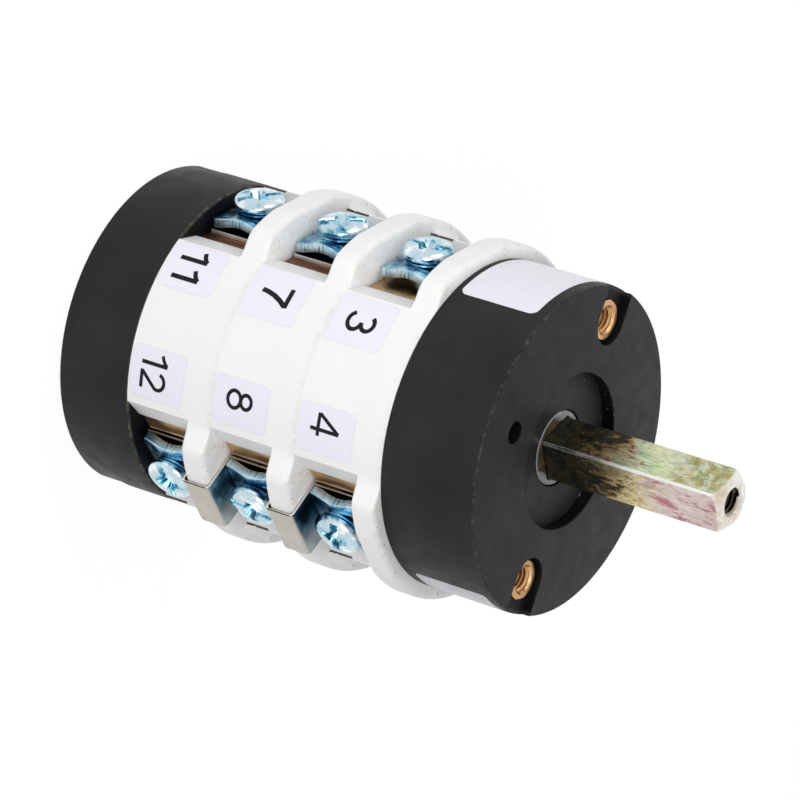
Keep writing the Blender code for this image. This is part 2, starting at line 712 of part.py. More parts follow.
def torsion_spring_points():
    """Coil round the hub; both legs reach past the finger and the post, one on each side."""
    low = STACK_TOP + SEAM + CLEAR + HUB_DISC_THICKNESS + CLEAR + TORSION_WIRE
    high = CHAMBER_TOP - CLEAR - TORSION_WIRE
    finger_inner = RETURN_CHAMBER_RADIUS - POST_THICKNESS - CLEAR - FINGER_THICKNESS
    leg_angle = POST_HALF_ANGLE + asin((TORSION_WIRE + CLEAR) / finger_inner)
    leg_radius = RETURN_CHAMBER_RADIUS - CLEAR
    start = 3 * pi / 2 + leg_angle
    sweep = 2 * pi * (TORSION_TURNS + 1) - 2 * leg_angle
    steps = 12 * (TORSION_TURNS + 1)
    points = [(*polar(leg_radius, start), low)]
    for i in range(steps + 1):
        share = i / steps
        points.append((*polar(TORSION_RADIUS, start + sweep * share), low + (high - low) * share))
    points.append((*polar(leg_radius, start + sweep), high))
    return points


# Fasteners

def insert_mesh():
    body = turned("mounting_insert", [(INSERT_RADIUS, INSERT_FOOT), (INSERT_RADIUS, INSERT_FACE)], 20)
    bore = turned("insert_thread", [
        (INSERT_BORE, INSERT_FOOT - CLEAR),
        (INSERT_BORE, INSERT_FACE + CLEAR),
    ], 16)
    return cut(body, [bore])


def tie_bolt_mesh():
    seat = REAR_NOTCH_DEPTH - CLEAR
    return turned("tie_bolt", [
        (BOLT_HEAD_RADIUS, seat - BOLT_HEAD_HEIGHT),
        (BOLT_HEAD_RADIUS, seat),
        (BOLT_RADIUS, seat),
        (BOLT_RADIUS, INSERT_FOOT + BOLT_ENGAGEMENT),
    ], 12)


def build():
    clear_scene()
    body = add_empty("body")
    rotor = add_empty("rotor_axis")

    black = material("black_bakelite", (0.03, 0.03, 0.03), 0.45)
    white = material("white_bakelite", (0.88, 0.87, 0.84), 0.4)
    shaft_steel = material("yellow_zinc", (0.72, 0.68, 0.42), 0.3, 1.0)
    blue_zinc = material("blue_zinc", (0.55, 0.78, 0.92), 0.25, 1.0)
    brass = material("brass", (0.72, 0.48, 0.26), 0.35, 1.0)
    nickel = material("nickel", (0.62, 0.6, 0.56), 0.35, 1.0)
    grey = material("grey_steel", (0.45, 0.45, 0.44), 0.4, 1.0)
    spring_steel = material("spring_steel", (0.35, 0.35, 0.36), 0.35, 1.0)
    dark_plastic = material("dark_plastic", (0.12, 0.07, 0.05), 0.5)

    add_object("rear_cap", smoothed(rear_cap_mesh()), black, body)
    add_object("front_housing", smoothed(housing_mesh()), black, body)
    add_object("drive_shaft", smoothed(shaft_mesh()), shaft_steel, rotor)
    add_object("return_hub", smoothed(hub_mesh()), grey, rotor)
    wire("torsion_spring", torsion_spring_points(), TORSION_WIRE, spring_steel, body)

    stage = smoothed(stage_mesh())
    cam = smoothed(cam_mesh())
    carrier = smoothed(carrier_mesh())
    bridge = bridge_mesh()
    terminal = smoothed(terminal_mesh())
    clamp_screw = clamp_screw_mesh()
    spring_points = contact_spring_points()
    for k in range(STAGES):
        base = CAP_LENGTH + k * PITCH
        middle = (0, 0, base + CORE_LENGTH / 2)
        tag = str(k + 1)
        add_object("stage_housing_" + tag, stage, white, body, (0, 0, base))
        add_object("cam_" + tag, cam, dark_plastic, rotor, middle)
        for side, turn in SIDES:
            name = side + "_" + tag
            around = (0, 0, turn)
            add_object("contact_carrier_" + name, carrier, dark_plastic, body, middle, around)
            add_object("bridging_contact_" + name, bridge, brass, body, middle, around)
            wire("contact_spring_" + name, spring_points, SPRING_WIRE, spring_steel, body,
                 middle, around)
        for quarter, turn in QUARTERS:
            name = quarter + "_" + tag
            add_object("terminal_" + name, terminal, brass, body, middle, turn)
            add_object("clamp_screw_" + name, clamp_screw, blue_zinc, body, middle, turn)

    link = link_mesh()
    for k in range(STAGES - 1):
        flange_middle = CAP_LENGTH + (k + 1) * PITCH - FLANGE_THICKNESS / 2
        add_object("jumper_link_" + str(k + 1), link, nickel, body, (0, 0, flange_middle))

    insert = smoothed(insert_mesh())
    bolt = smoothed(tie_bolt_mesh())
    for name, x in (("left", -BOLT_CIRCLE), ("right", BOLT_CIRCLE)):
        add_object("mounting_insert_" + name, insert, brass, body, (x, 0, 0))
        add_object("tie_bolt_" + name, bolt, grey, body, (x, 0, 0))


build()
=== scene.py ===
from functools import partial, reduce
from math import acos, asin, cos, pi, radians, sin

import bmesh
import bpy
from mathutils import Matrix, Vector

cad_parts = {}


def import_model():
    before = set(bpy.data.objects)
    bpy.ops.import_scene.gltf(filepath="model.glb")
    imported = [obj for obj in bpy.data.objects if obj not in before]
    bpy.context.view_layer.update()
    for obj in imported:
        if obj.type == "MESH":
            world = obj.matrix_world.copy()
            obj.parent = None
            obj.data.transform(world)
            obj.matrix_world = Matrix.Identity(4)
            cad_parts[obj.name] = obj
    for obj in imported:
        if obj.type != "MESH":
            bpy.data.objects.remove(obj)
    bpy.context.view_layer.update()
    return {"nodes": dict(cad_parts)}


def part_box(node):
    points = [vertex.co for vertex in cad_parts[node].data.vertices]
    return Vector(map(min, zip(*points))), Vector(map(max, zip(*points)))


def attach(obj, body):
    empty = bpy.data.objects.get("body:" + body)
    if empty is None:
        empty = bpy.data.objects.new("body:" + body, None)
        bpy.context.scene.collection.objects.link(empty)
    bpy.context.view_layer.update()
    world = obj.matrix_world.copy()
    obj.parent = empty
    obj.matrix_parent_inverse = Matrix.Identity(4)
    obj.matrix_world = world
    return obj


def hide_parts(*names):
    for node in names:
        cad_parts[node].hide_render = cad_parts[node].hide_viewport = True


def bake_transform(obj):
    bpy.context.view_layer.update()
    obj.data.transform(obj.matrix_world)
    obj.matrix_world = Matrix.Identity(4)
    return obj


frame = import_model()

MM = 0.001

# Sizes of the CAD model that the looks follow
CLEAR = 0.3 * MM
BODY_RADIUS = 31.0 * MM
CAP_LENGTH = 16.0 * MM
CORE_LENGTH = 14.0 * MM
FLANGE_THICKNESS = 5.0 * MM
FLANGE_RADIUS = 33.75 * MM
PITCH = CORE_LENGTH + FLANGE_THICKNESS
STAGES = 3
STACK_TOP = CAP_LENGTH + STAGES * PITCH
FRONT_FACE = STACK_TOP + 20.0 * MM
RECESS_FLOOR = FRONT_FACE - 2.5 * MM
SHAFT_TOP = FRONT_FACE + 34.5 * MM
BLOCK_HALF_ANGLE = radians(30.2)
FLANGE_FULL_ANGLE = radians(40.0)
TERMINAL_ANGLE = radians(60.0)
POCKET_FLOOR = 24.1 * MM
POCKET_NEAR_WALL = 10.1 * MM
SHOULDER_FOOT = 25.8 * MM
STRAP_SEAT = 33.3 * MM
RIB_HALF_WIDTH = 5.0 * MM
BOLT_CIRCLE = 24.6 * MM
BOLT_HOLE = 2.2 * MM
SIDES = (-1, 1)

# Turns that carry the pocket at +X -Y to each of the four
QUARTERS = (
    ("near_right", (0, 0, 0)),
    ("near_left", (0, pi, 0)),
    ("far_right", (pi, 0, 0)),
    ("far_left", (0, 0, pi)),
)


# Outlines

def polar(radius, angle):
    """Point at an angle from -Y towards +X."""
    return radius * sin(angle), -radius * cos(angle)


def arc(radius, start, end, steps):
    return [polar(radius, start + (end - start) * i / steps) for i in range(steps + 1)]


def circle(radius, steps, centre=(0, 0)):
    ring = arc(radius, 0, 2 * pi, steps)[:-1]
    return [(x + centre[0], y + centre[1]) for x, y in ring]


def oblong(half_x, half_y):
    return [(-half_x, -half_y), (half_x, -half_y), (half_x, half_y), (-half_x, half_y)]


def rounded_oblong(flat_x, flat_y, radius, steps):
    """Rounded rectangle; flat_x and flat_y reach to the corners' centres."""
    points = []
    for sx, sy, start in ((1, 1, 0), (-1, 1, pi / 2), (-1, -1, pi), (1, -1, 3 * pi / 2)):
        for i in range(steps + 1):
            angle = start + pi / 2 * i / steps
            points.append((sx * flat_x + radius * cos(angle), sy * flat_y + radius * sin(angle)))
    return points


def in_pocket(outward, along):
    x = outward * sin(TERMINAL_ANGLE) + along * cos(TERMINAL_ANGLE)
    y = -outward * cos(TERMINAL_ANGLE) + along * sin(TERMINAL_ANGLE)
    return x, y


def four_fold(quarter):
    half = quarter + [(x, -y) for x, y in reversed(quarter[:-1])]
    return half[:-1] + [(-x, -y) for x, y in half[:-1]]


def rounding(radius, steps):
    """(height, inset) pairs of a quarter round, from its foot to its top."""
    angles = [pi / 2 * i / steps for i in range(steps + 1)]
    return [(radius * sin(angle), radius * (1 - cos(angle))) for angle in angles]


def set_back(radius, distance):
    """How far a rounded corner lies back at a distance from its end."""
    if distance >= radius:
        return 0.0
    return radius - max(0.0, radius ** 2 - (radius - distance) ** 2) ** 0.5


def stage_place(k, above=0.0):
    return 0, 0, CAP_LENGTH + k * PITCH + above


# Solids

def linked(name, data):
    made = bpy.data.objects.new(name, data)
    bpy.context.collection.objects.link(made)
    return made


def finished(name, builder):
    mesh = bpy.data.meshes.new(name)
    builder.to_mesh(mesh)
    builder.free()
    return mesh


def skin(name, rings, outward=False):
    """Closed skin over rings of points; outward turns the faces out whatever the rings' order."""
    builder = bmesh.new()
    loops = [[builder.verts.new(point) for point in ring] for ring in rings]
    count = len(loops[0])
    for low, high in zip(loops, loops[1:]):
        for i in range(count):
            j = (i + 1) % count
            builder.faces.new((low[i], low[j], high[j], high[i]))
    builder.faces.new(list(reversed(loops[0])))
    builder.faces.new(loops[-1])
    if outward:
        bmesh.ops.recalc_face_normals(builder, faces=builder.faces)
    return finished(name, builder)


def stacked(name, levels):
    return skin(name, [[(x, y, z) for x, y in outline] for z, outline in levels])


def prism(name, outline, z0, z1):
    return stacked(name, [(z0, outline), (z1, outline)])


def turned(name, profile, steps, centre=(0, 0)):
    return stacked(name, [(z, circle(radius, steps, centre)) for radius, z in profile])


def column(name, radius, z0, z1, steps, centre=(0, 0)):
    return turned(name, [(radius, z0), (radius, z1)], steps, centre)


def rounded_profile(radius, z0, z1, foot, top, steps=4):
    """Profile of a turned solid with a quarter round at its foot and its top."""
    profile = [(radius - inset, z0 + foot - height) for height, inset in reversed(rounding(foot, steps))]
    return profile + [(radius - inset, z1 - top + height) for height, inset in rounding(top, steps)]


def smoothed(mesh, angle=35):
    mesh.shade_smooth()
    mesh.set_sharp_from_angle(angle=radians(angle))
    return mesh


def combined(body, tools, operation, bevel=0.0):
    blank = linked(body.name, body)
    helpers = []
    for mesh in tools:
        helper = linked(mesh.name, mesh)
        boolean = blank.modifiers.new(mesh.name, "BOOLEAN")
        boolean.object = helper
        boolean.operation = operation
        boolean.solver = "EXACT"
        helpers.append(helper)
    if bevel:
        rounder = blank.modifiers.new("rounder", "BEVEL")
        rounder.width = bevel
        rounder.segments = 2
        rounder.limit_method = "ANGLE"
        rounder.angle_limit = radians(50)
        rounder.miter_outer = "MITER_ARC"
    graph = bpy.context.evaluated_depsgraph_get()
    result = bpy.data.meshes.new_from_object(blank.evaluated_get(graph))
    result.name = body.name
    for used in [blank] + helpers:
        bpy.data.objects.remove(used)
    return result


def cut(body, tools, bevel=0.0):
    return combined(body, tools, "DIFFERENCE", bevel)


def joined(body, tools, bevel=0.0):
    return combined(body, tools, "UNION", bevel)


def merged(name, parts):
    """One mesh of several, each with a rule that gives a face its material slot."""
    builder = bmesh.new()
    for mesh, rule in parts:
        before = len(builder.faces)
        builder.from_mesh(mesh)
        builder.faces.ensure_lookup_table()
        bmesh.ops.recalc_face_normals(builder, faces=builder.faces[before:])
        for face in builder.faces[before:]:
            face.material_index = rule(face.calc_center_median(), face.normal)
    return finished(name, builder)


def pocket_mesh(mesh):
    """Carry a mesh drawn as (across, up, outward) into the pocket at +X -Y."""
    for vertex in mesh.vertices:
        across, up, outward = vertex.co
        x, y = in_pocket(outward, across)
        vertex.co = (x, y, up)
    return mesh


# Material helpers

class Nodes:
    """Short hand for building a node tree."""

    def __init__(self, tree):
        self.tree = tree

    def put(self, value, socket):
        """Give a socket a number, a colour, a vector or another node's output."""
        if isinstance(value, tuple):
            socket.default_value = value + (1,) * (len(socket.default_value) - len(value))
        elif isinstance(value, (int, float)):
            socket.default_value = value
        else:
            self.tree.links.new(value, socket)

    def node(self, kind, **inputs):
        made = self.tree.nodes.new("ShaderNode" + kind)
        for name, value in inputs.items():
            self.put(value, made.inputs[name.replace("_", " ")])
        return made

    def maths(self, operation, *values):
        made = self.node("Math")
        made.operation = operation
        for i, value in enumerate(values):
            self.put(value, made.inputs[i])
        return made.outputs[0]

    def times(self, *values):
        return reduce(partial(self.maths, "MULTIPLY"), values)

    def plus(self, *values):
        return reduce(partial(self.maths, "ADD"), values)

    def most(self, *values):
        return reduce(partial(self.maths, "MAXIMUM"), values)

    def size(self, a, b=None):
        """Absolute value of one number, or length of two."""
        if b is None:
            return self.maths("ABSOLUTE", a)
        return self.maths("SQRT", self.plus(self.times(a, a), self.times(b, b)))

    def spread(self, value, low, high, out_low=0.0, out_high=1.0):
        """Even change from out_low at low to out_high at high, and flat beyond."""
        made = self.node("MapRange", Value=value, From_Min=low, From_Max=high, To_Min=out_low, To_Max=out_high)
        return made.outputs["Result"]


class Recipe(Nodes):
    """A material: a first colour, layers painted over it, and a finish."""

    def __init__(self, name):
        self.material = bpy.data.materials.new(name)
        self.material.use_nodes = True
        super().__init__(self.material.node_tree)
        self.shader = self.tree.nodes["Principled BSDF"]
        self.coords = self.node("TexCoord")

    def source(self, name, tilt):
        value = self.coords.outputs[name]
        if tilt:
            value = self.node("Mapping", Vector=value, Rotation=(0, 0, tilt)).outputs[0]
        return value

    def axes(self, name="Object", tilt=0.0):
        return self.node("SeparateXYZ", Vector=self.source(name, tilt)).outputs

    def noise(self, scale, detail, stretch=(1, 1, 1), rough=0.5, vary=False, shift=(0, 0, 0), tilt=0.0):
        """Noise of the given scale per metre; vary gives each piece its own."""
        if vary:
            shift = self.node("ObjectInfo").outputs["Random"]
        mapped = self.node("Mapping", Vector=self.source("Object", tilt), Scale=stretch, Location=shift)
        made = self.node("TexNoise", Vector=mapped.outputs[0], Scale=scale, Detail=detail, Roughness=rough)
        return made.outputs["Fac"]

    def patchy(self, scale, detail, low, high, *more, **options):
        """Noise spread between two values."""
        return self.spread(self.noise(scale, detail, *more, **options), 0.3, 0.7, low, high)

    def ramp(self, value, *stops):
        made = self.node("ValToRGB", Fac=value)
        elements = made.color_ramp.elements
        while len(elements) < len(stops):
            elements.new(0.5)
        for element, (position, colour) in zip(elements, stops):
            element.position = position
            element.color = (*colour, 1)
        return made.outputs["Color"]

    def shade(self, grain, low, high):
        """First colour, from low to high with the grain, which is handed back."""
        self.colour = self.ramp(grain, (0.3, low), (0.7, high))
        return grain

    def mix(self, share, a, b):
        made = self.node("Mix")
        made.data_type = "RGBA"
        for i, value in ((0, share), (6, a), (7, b)):
            self.put(value, made.inputs[i])
        return made.outputs[2]

    def paint(self, share, colour):
        self.colour = self.mix(share, self.colour, colour)

    def bump(self, height, strength, distance, **more):
        return self.node("Bump", Height=height, Strength=strength, Distance=distance, **more).outputs[0]

    def finish(self, roughness, metallic, bump=None, **sockets):
        if bump:
            sockets["Normal"] = self.bump(*bump)
        sockets.update(Base_Color=self.colour, Roughness=roughness, Metallic=metallic)
        for name, value in sockets.items():
            self.put(value, self.shader.inputs[name.replace("_", " ")])
        return self.material


# Materials. A tilt of 30 degrees turns X outward from the pocket and Y along its floor.

POCKET_TILT = radians(30)


def black_bakelite():
    """Black moulding with painted shade on the recess wall and the seat, crumbs at the recess and worn rims."""
    r = Recipe("black_bakelite_look")
    x, y, z = r.axes()
    radius = r.size(x, y)
    r.shade(r.noise(90, 5), (0.015, 0.015, 0.016), (0.023, 0.0225, 0.0225))
    r.paint(r.spread(r.noise(1900, 2), 0.69, 0.78, 0.0, 0.5), (0.09, 0.075, 0.06))
    painted_shade_inside = r.spread(radius, 30.4 * MM, 30.2 * MM)
    # Painted shade: near-black on the front recess wall and in the holes and notches of the front face
    deep = r.times(r.spread(z, FRONT_FACE - 5.2 * MM, FRONT_FACE - 5 * MM),
                   r.spread(z, FRONT_FACE - 0.08 * MM, FRONT_FACE - 0.2 * MM))
    r.paint(r.times(painted_shade_inside, r.spread(radius, 14.6 * MM, 14.66 * MM), deep), (0.004, 0.004, 0.004))
    # Painted shade: near-black on the rear cap's front face inside its rim, and in the cap's holes and notches
    seat = r.times(painted_shade_inside, r.spread(z, CAP_LENGTH + MM, CAP_LENGTH + 0.1 * MM), r.spread(z, 0, MM))
    r.paint(seat, (0.004, 0.004, 0.005))
    crumbs = r.times(r.spread(r.noise(1500, 2), 0.68, 0.74), r.spread(radius, 15.2 * MM, 14.8 * MM),
                     r.spread(radius, 12.6 * MM, 14.2 * MM))
    r.paint(crumbs, (0.3, 0.22, 0.18))
    height = r.size(r.maths("SUBTRACT", z, CAP_LENGTH - 0.1 * MM))
    rim = r.times(r.spread(height, 0.18 * MM, 0.08 * MM), r.spread(radius, 30.3 * MM, 30.6 * MM))
    r.paint(r.times(rim, r.spread(r.noise(700, 4), 0.4, 0.66, 0.1, 0.7)), (0.15, 0.13, 0.095))
    edge = r.times(r.spread(radius, 30.6 * MM, 30.8 * MM), r.spread(z, FRONT_FACE - 0.7 * MM, FRONT_FACE - 0.3 * MM))
    r.paint(r.times(edge, r.spread(r.noise(900, 5), 0.45, 0.7, 0.0, 0.4)), (0.13, 0.12, 0.11))
    fine = r.bump(r.noise(1500, 4), 0.1, 0.05 * MM)
    return r.finish(r.patchy(320, 4, 0.38, 0.54), 0.0, Normal=r.bump(r.noise(160, 2), 0.1, 0.1 * MM, Normal=fine),
                    Specular_IOR_Level=0.12)


def white_bakelite():
    """White moulding with specks, rubbed and a little dirty along each flange's front edge."""
    r = Recipe("white_bakelite_look")
    x, y, z = r.axes()
    r.shade(r.noise(60, 4), (0.85, 0.845, 0.85), (0.885, 0.88, 0.885))
    r.paint(r.spread(r.noise(800, 2, vary=True), 0.78, 0.84, 0.0, 0.4), (0.45, 0.38, 0.3))
    rubbed = r.times(r.spread(z, PITCH - 1.3 * MM, PITCH - 0.3 * MM), r.spread(r.noise(500, 5), 0.4, 0.65))
    r.paint(r.times(rubbed, 0.45), (0.74, 0.7, 0.62))
    dirt = r.times(r.spread(z, PITCH - 0.7 * MM, PITCH - 0.1 * MM), r.spread(r.noise(1300, 4), 0.64, 0.74))
    r.paint(dirt, (0.3, 0.26, 0.22))
    return r.finish(r.patchy(400, 3, 0.34, 0.46), 0.0, Normal=r.bump(r.noise(500, 3), 0.08, 0.05 * MM),
                    Specular_IOR_Level=0.4)


def blue_zinc(name, deep, middle, pale, lines=0.1, rough=0.24):
    """Blue passivated steel with fine dark ribs that run outward."""
    r = Recipe(name)
    r.colour = r.ramp(r.noise(330, 4, vary=True), (0.36, deep), (0.5, middle), (0.66, pale))
    layers = r.noise(1.0, 3, (260, 500, 1500), vary=True, tilt=POCKET_TILT)
    r.paint(r.times(r.spread(layers, 0.52, 0.66), lines), (0.05, 0.12, 0.18))
    return r.finish(r.patchy(700, 3, rough - 0.06, rough + 0.1, vary=True), 1.0,
                    bump=(layers, 0.2 + lines, 0.08 * MM))


def zinc_painted_reflections(name, scale, rough, *stops):
    """Blue plating with painted bright and dark reflection patches in its colour, as on a polished head."""
    r = Recipe(name)
    r.colour = r.ramp(r.noise(scale, 3, rough=0.55, vary=True), *stops)
    facets = r.noise(scale * 1.6, 1, vary=True)
    return r.finish(r.patchy(700, 3, rough - 0.06, rough + 0.08, vary=True), 1.0,
                    bump=(facets, 0.35, 0.25 * MM))


def bronze(name, low, high, rough=0.32, stretch=(6, 6, 1)):
    """Drawn brass or bronze, its lines along Z by default."""
    r = Recipe(name)
    lines = r.shade(r.noise(420, 4, stretch, vary=True), low, high)
    return r.finish(r.patchy(300, 3, rough - 0.08, rough + 0.1, vary=True), 1.0, bump=(lines, 0.18, 0.05 * MM))


def grained(name, low, high, dull, shiny, metallic=1.0, scale=900, sheen_scale=500):
    """Plain grained metal or plastic."""
    r = Recipe(name)
    grain = r.shade(r.noise(scale, 4, vary=True), low, high)
    return r.finish(r.patchy(sheen_scale, 3, dull, shiny), metallic, bump=(grain, 0.15, 0.05 * MM))


def painted_shade_under_saddle(r, edge, full):
    """Painted shade on the part under the saddle."""
    outward, along, up = r.axes(tilt=POCKET_TILT)
    r.paint(r.spread(r.size(along), edge, full), (0.006, 0.008, 0.01))


def laminated():
    """Stacked thin plates seen on edge: brown, pale and dark lines, with painted shade at the middle under the
    saddle.
    """
    r = Recipe("laminated_plate_look")
    layers = r.noise(1.0, 2, (3600, 60, 60), vary=True, tilt=POCKET_TILT)
    r.colour = r.ramp(layers, (0.36, (0.1, 0.06, 0.035)), (0.46, (0.42, 0.31, 0.22)), (0.56, (0.62, 0.54, 0.46)),
                      (0.66, (0.3, 0.2, 0.13)))
    painted_shade_under_saddle(r, 6.4 * MM, 6.25 * MM)
    return r.finish(r.patchy(500, 3, 0.3, 0.5), 0.7, bump=(layers, 0.3, 0.06 * MM))


def clamp_plate_look():
    """Pale plated edge; the part under the saddle gets painted shade."""
    r = Recipe("clamp_plate_look")
    grain = r.shade(r.noise(900, 4, vary=True), (0.7, 0.68, 0.65), (0.9, 0.88, 0.86))
    painted_shade_under_saddle(r, 6.5 * MM, 6.3 * MM)
    return r.finish(r.patchy(500, 3, 0.3, 0.45), 0.85, bump=(grain, 0.15, 0.05 * MM))


def satin_nickel():
    """Beige plated steel; its front sides carry a painted reflection of the screws' blue, and its near edges a
    painted highlight line and a painted shadow line.
    """
    r = Recipe("satin_nickel_look")
    lines = r.shade(r.noise(380, 4, (1, 1, 5), vary=True), (0.46, 0.43, 0.39), (0.52, 0.495, 0.45))
    nx, ny, nz = r.axes("Normal")
    outward, along, up = r.axes(tilt=POCKET_TILT)
    blue = r.ramp(r.noise(170, 2, vary=True), (0.42, (0.015, 0.035, 0.06)), (0.52, (0.05, 0.12, 0.17)),
                  (0.64, (0.24, 0.38, 0.45)))
    near = r.spread(r.plus(along, r.patchy(200, 2, -MM, MM)), 4.5 * MM, -1.0 * MM)
    # Painted reflection of the screws' blue on the faces that look along +Z
    r.paint(r.spread(nz, 0.6, 0.9), r.mix(near, (0.26, 0.3, 0.31), blue))
    side_out, side_along, side_up = r.axes("Normal", POCKET_TILT)
    gap = r.spread(outward, STRAP_SEAT + 0.48 * MM, STRAP_SEAT + 0.54 * MM)
    # Painted highlight and painted shadow lines on the near edges
    r.paint(r.spread(side_along, -0.6, -0.9), r.mix(gap, (0.8, 0.76, 0.7), (0.03, 0.022, 0.018)))
    return r.finish(r.patchy(260, 3, 0.28, 0.42), 1.0, bump=(lines, 0.15, 0.05 * MM))


def rainbow_zinc():
    """Yellow passivated steel: painted dark and dull at the foot as shade for the black housing's reflection,
    greener on one face and pinker on another.
    """
    r = Recipe("rainbow_zinc_look")
    nx, ny, nz = r.axes("Normal")
    x, y, z = r.axes()
    drawn = (1, 1, 0.4)
    along = r.spread(z, FRONT_FACE, SHAFT_TOP)
    wave = r.patchy(150, 4, -0.14, 0.14, (1, 1, 0.45))
    fine = r.patchy(1100, 5, -0.16, 0.16, drawn, 0.65)
    tint_at = r.plus(along, r.plus(wave, fine))
    green = r.ramp(
        tint_at, (0.02, (0.52, 0.4, 0.28)), (0.12, (0.4, 0.44, 0.3)), (0.22, (0.48, 0.42, 0.24)),
        (0.3, (0.7, 0.48, 0.22)), (0.36, (0.68, 0.54, 0.3)), (0.43, (0.54, 0.66, 0.54)), (0.52, (0.6, 0.74, 0.42)),
        (0.63, (0.76, 0.78, 0.48)), (0.76, (0.68, 0.7, 0.56)), (0.95, (0.66, 0.68, 0.48)))
    pink = r.ramp(
        tint_at, (0.02, (0.52, 0.4, 0.28)), (0.14, (0.46, 0.42, 0.28)), (0.24, (0.5, 0.4, 0.2)),
        (0.32, (0.64, 0.48, 0.22)), (0.4, (0.76, 0.66, 0.36)), (0.52, (0.72, 0.64, 0.52)), (0.7, (0.74, 0.63, 0.6)),
        (0.95, (0.66, 0.55, 0.51)))
    moss = r.times(r.spread(along, 0.66, 0.74), r.spread(r.noise(700, 5, rough=0.7), 0.42, 0.56))
    green = r.mix(r.times(moss, 0.85), green, (0.24, 0.3, 0.08))
    ochre = r.times(r.spread(along, 0.68, 0.74), r.spread(r.noise(600, 5, rough=0.7, shift=(2, 7, 3)), 0.5, 0.6))
    green = r.mix(r.times(ochre, 0.6), green, (0.62, 0.42, 0.16))
    stain = r.times(r.spread(along, 0.45, 0.62), r.spread(r.noise(480, 6, drawn, 0.72, shift=(5, 2, 1)), 0.5, 0.59))
    pink = r.mix(r.times(stain, 0.78), pink, (0.42, 0.09, 0.16))
    r.colour = r.mix(r.spread(nx, -0.2, 0.2), green, pink)
    rust = r.times(r.spread(along, 0.42, 0.3), r.spread(r.noise(500, 4, drawn), 0.54, 0.62))
    r.paint(r.times(rust, 0.6), (0.6, 0.28, 0.12))
    specks = r.spread(r.noise(1700, 3, (1, 1, 0.3)), 0.6, 0.68)
    r.paint(r.times(specks, r.spread(along, 0.75, 0.35, 0.1, 0.6)), (0.02, 0.02, 0.012))
    shade = r.spread(r.noise(2000, 4, (1, 1, 0.3), 0.6), 0.35, 0.65, 0.0, 0.45)
    r.paint(r.times(shade, r.spread(along, 0.2, 0.9, 1.0, 0.5)), (0.1, 0.09, 0.05))
    reach = r.plus(along, r.plus(wave, r.times(fine, 1.3)))
    # Painted shade at the foot: dark, dull colour where the metal would mirror the black housing
    grease_and_painted_shade = r.times(r.spread(reach, 0.35, 0.2), r.spread(r.noise(900, 4, rough=0.7), 0.35, 0.6, 0.7, 1.0))
    r.paint(r.spread(grease_and_painted_shade, 0.0, 0.7),
            r.ramp(r.noise(450, 4), (0.4, (0.01, 0.01, 0.007)), (0.62, (0.03, 0.026, 0.014))))
    corner = r.spread(r.maths("MINIMUM", r.size(x), r.size(y)), 0.34 * MM, 0.24 * MM)
    r.paint(corner, (0.86, 0.86, 0.85))
    silver = r.most(r.spread(nz, 0.25, 0.4), r.spread(z, SHAFT_TOP - 0.9 * MM, SHAFT_TOP - 0.6 * MM))
    tinted = r.ramp(r.noise(330, 4), (0.4, (0.86, 0.85, 0.83)), (0.52, (0.76, 0.68, 0.6)),
                    (0.62, (0.66, 0.6, 0.42)), (0.72, (0.62, 0.5, 0.5)))
    r.paint(r.times(silver, 0.9), tinted)
    bore = r.times(r.spread(r.size(x, y), 3.0 * MM, 2.8 * MM),
                   r.spread(z, SHAFT_TOP - 0.05 * MM, SHAFT_TOP - 0.8 * MM))
    r.paint(bore, (0.1, 0.09, 0.06))
    bare = r.most(r.maths("SUBTRACT", 1.0, grease_and_painted_shade), corner, silver)
    return r.finish(r.patchy(500, 4, 0.18, 0.36, (1, 1, 0.3)), bare,
                    Normal=r.bump(r.noise(1400, 3, (1, 1, 0.12)), 0.25, 0.06 * MM))


def cast_hub():
    """Grey cast hub, with the shaft's dark grease across its middle."""
    r = Recipe("cast_hub_look")
    grain = r.shade(r.noise(700, 4), (0.2, 0.2, 0.2), (0.3, 0.3, 0.3))
    x, y, z = r.axes()
    reach = r.plus(r.size(x), r.patchy(500, 4, -0.5 * MM, 0.5 * MM))
    grease_and_painted_shade = r.times(r.spread(reach, 5.3 * MM, 4.8 * MM), r.spread(r.size(x, y), 6.9 * MM, 6.7 * MM))
    r.paint(grease_and_painted_shade, r.ramp(r.noise(420, 4), (0.35, (0.012, 0.01, 0.008)), (0.6, (0.06, 0.04, 0.02)),
                           (0.7, (0.1, 0.055, 0.025))))
    return r.finish(r.spread(grain, 0.3, 0.7, 0.5, 0.65), 0.2, bump=(grain, 0.2, 0.08 * MM))


def paper(name, low, high, rough=0.4):
    r = Recipe(name)
    r.shade(r.noise(1600, 3, vary=True), low, high)
    r.paint(r.spread(r.noise(1100, 2, vary=True), 0.77, 0.82, 0.0, 0.35), (0.5, 0.46, 0.45))
    return r.finish(r.patchy(300, 3, rough - 0.05, rough + 0.08), 0.0,
                    bump=(r.noise(260, 2, vary=True), 0.08, 0.05 * MM))


def ink():
    r = Recipe("printing_ink")
    r.colour = r.ramp(r.noise(2500, 3, vary=True), (0.3, (0.006, 0.006, 0.008)), (0.75, (0.014, 0.014, 0.017)))
    return r.finish(0.6, 0.0, Specular_IOR_Level=0.15)


BLACK = black_bakelite()
WHITE = white_bakelite()
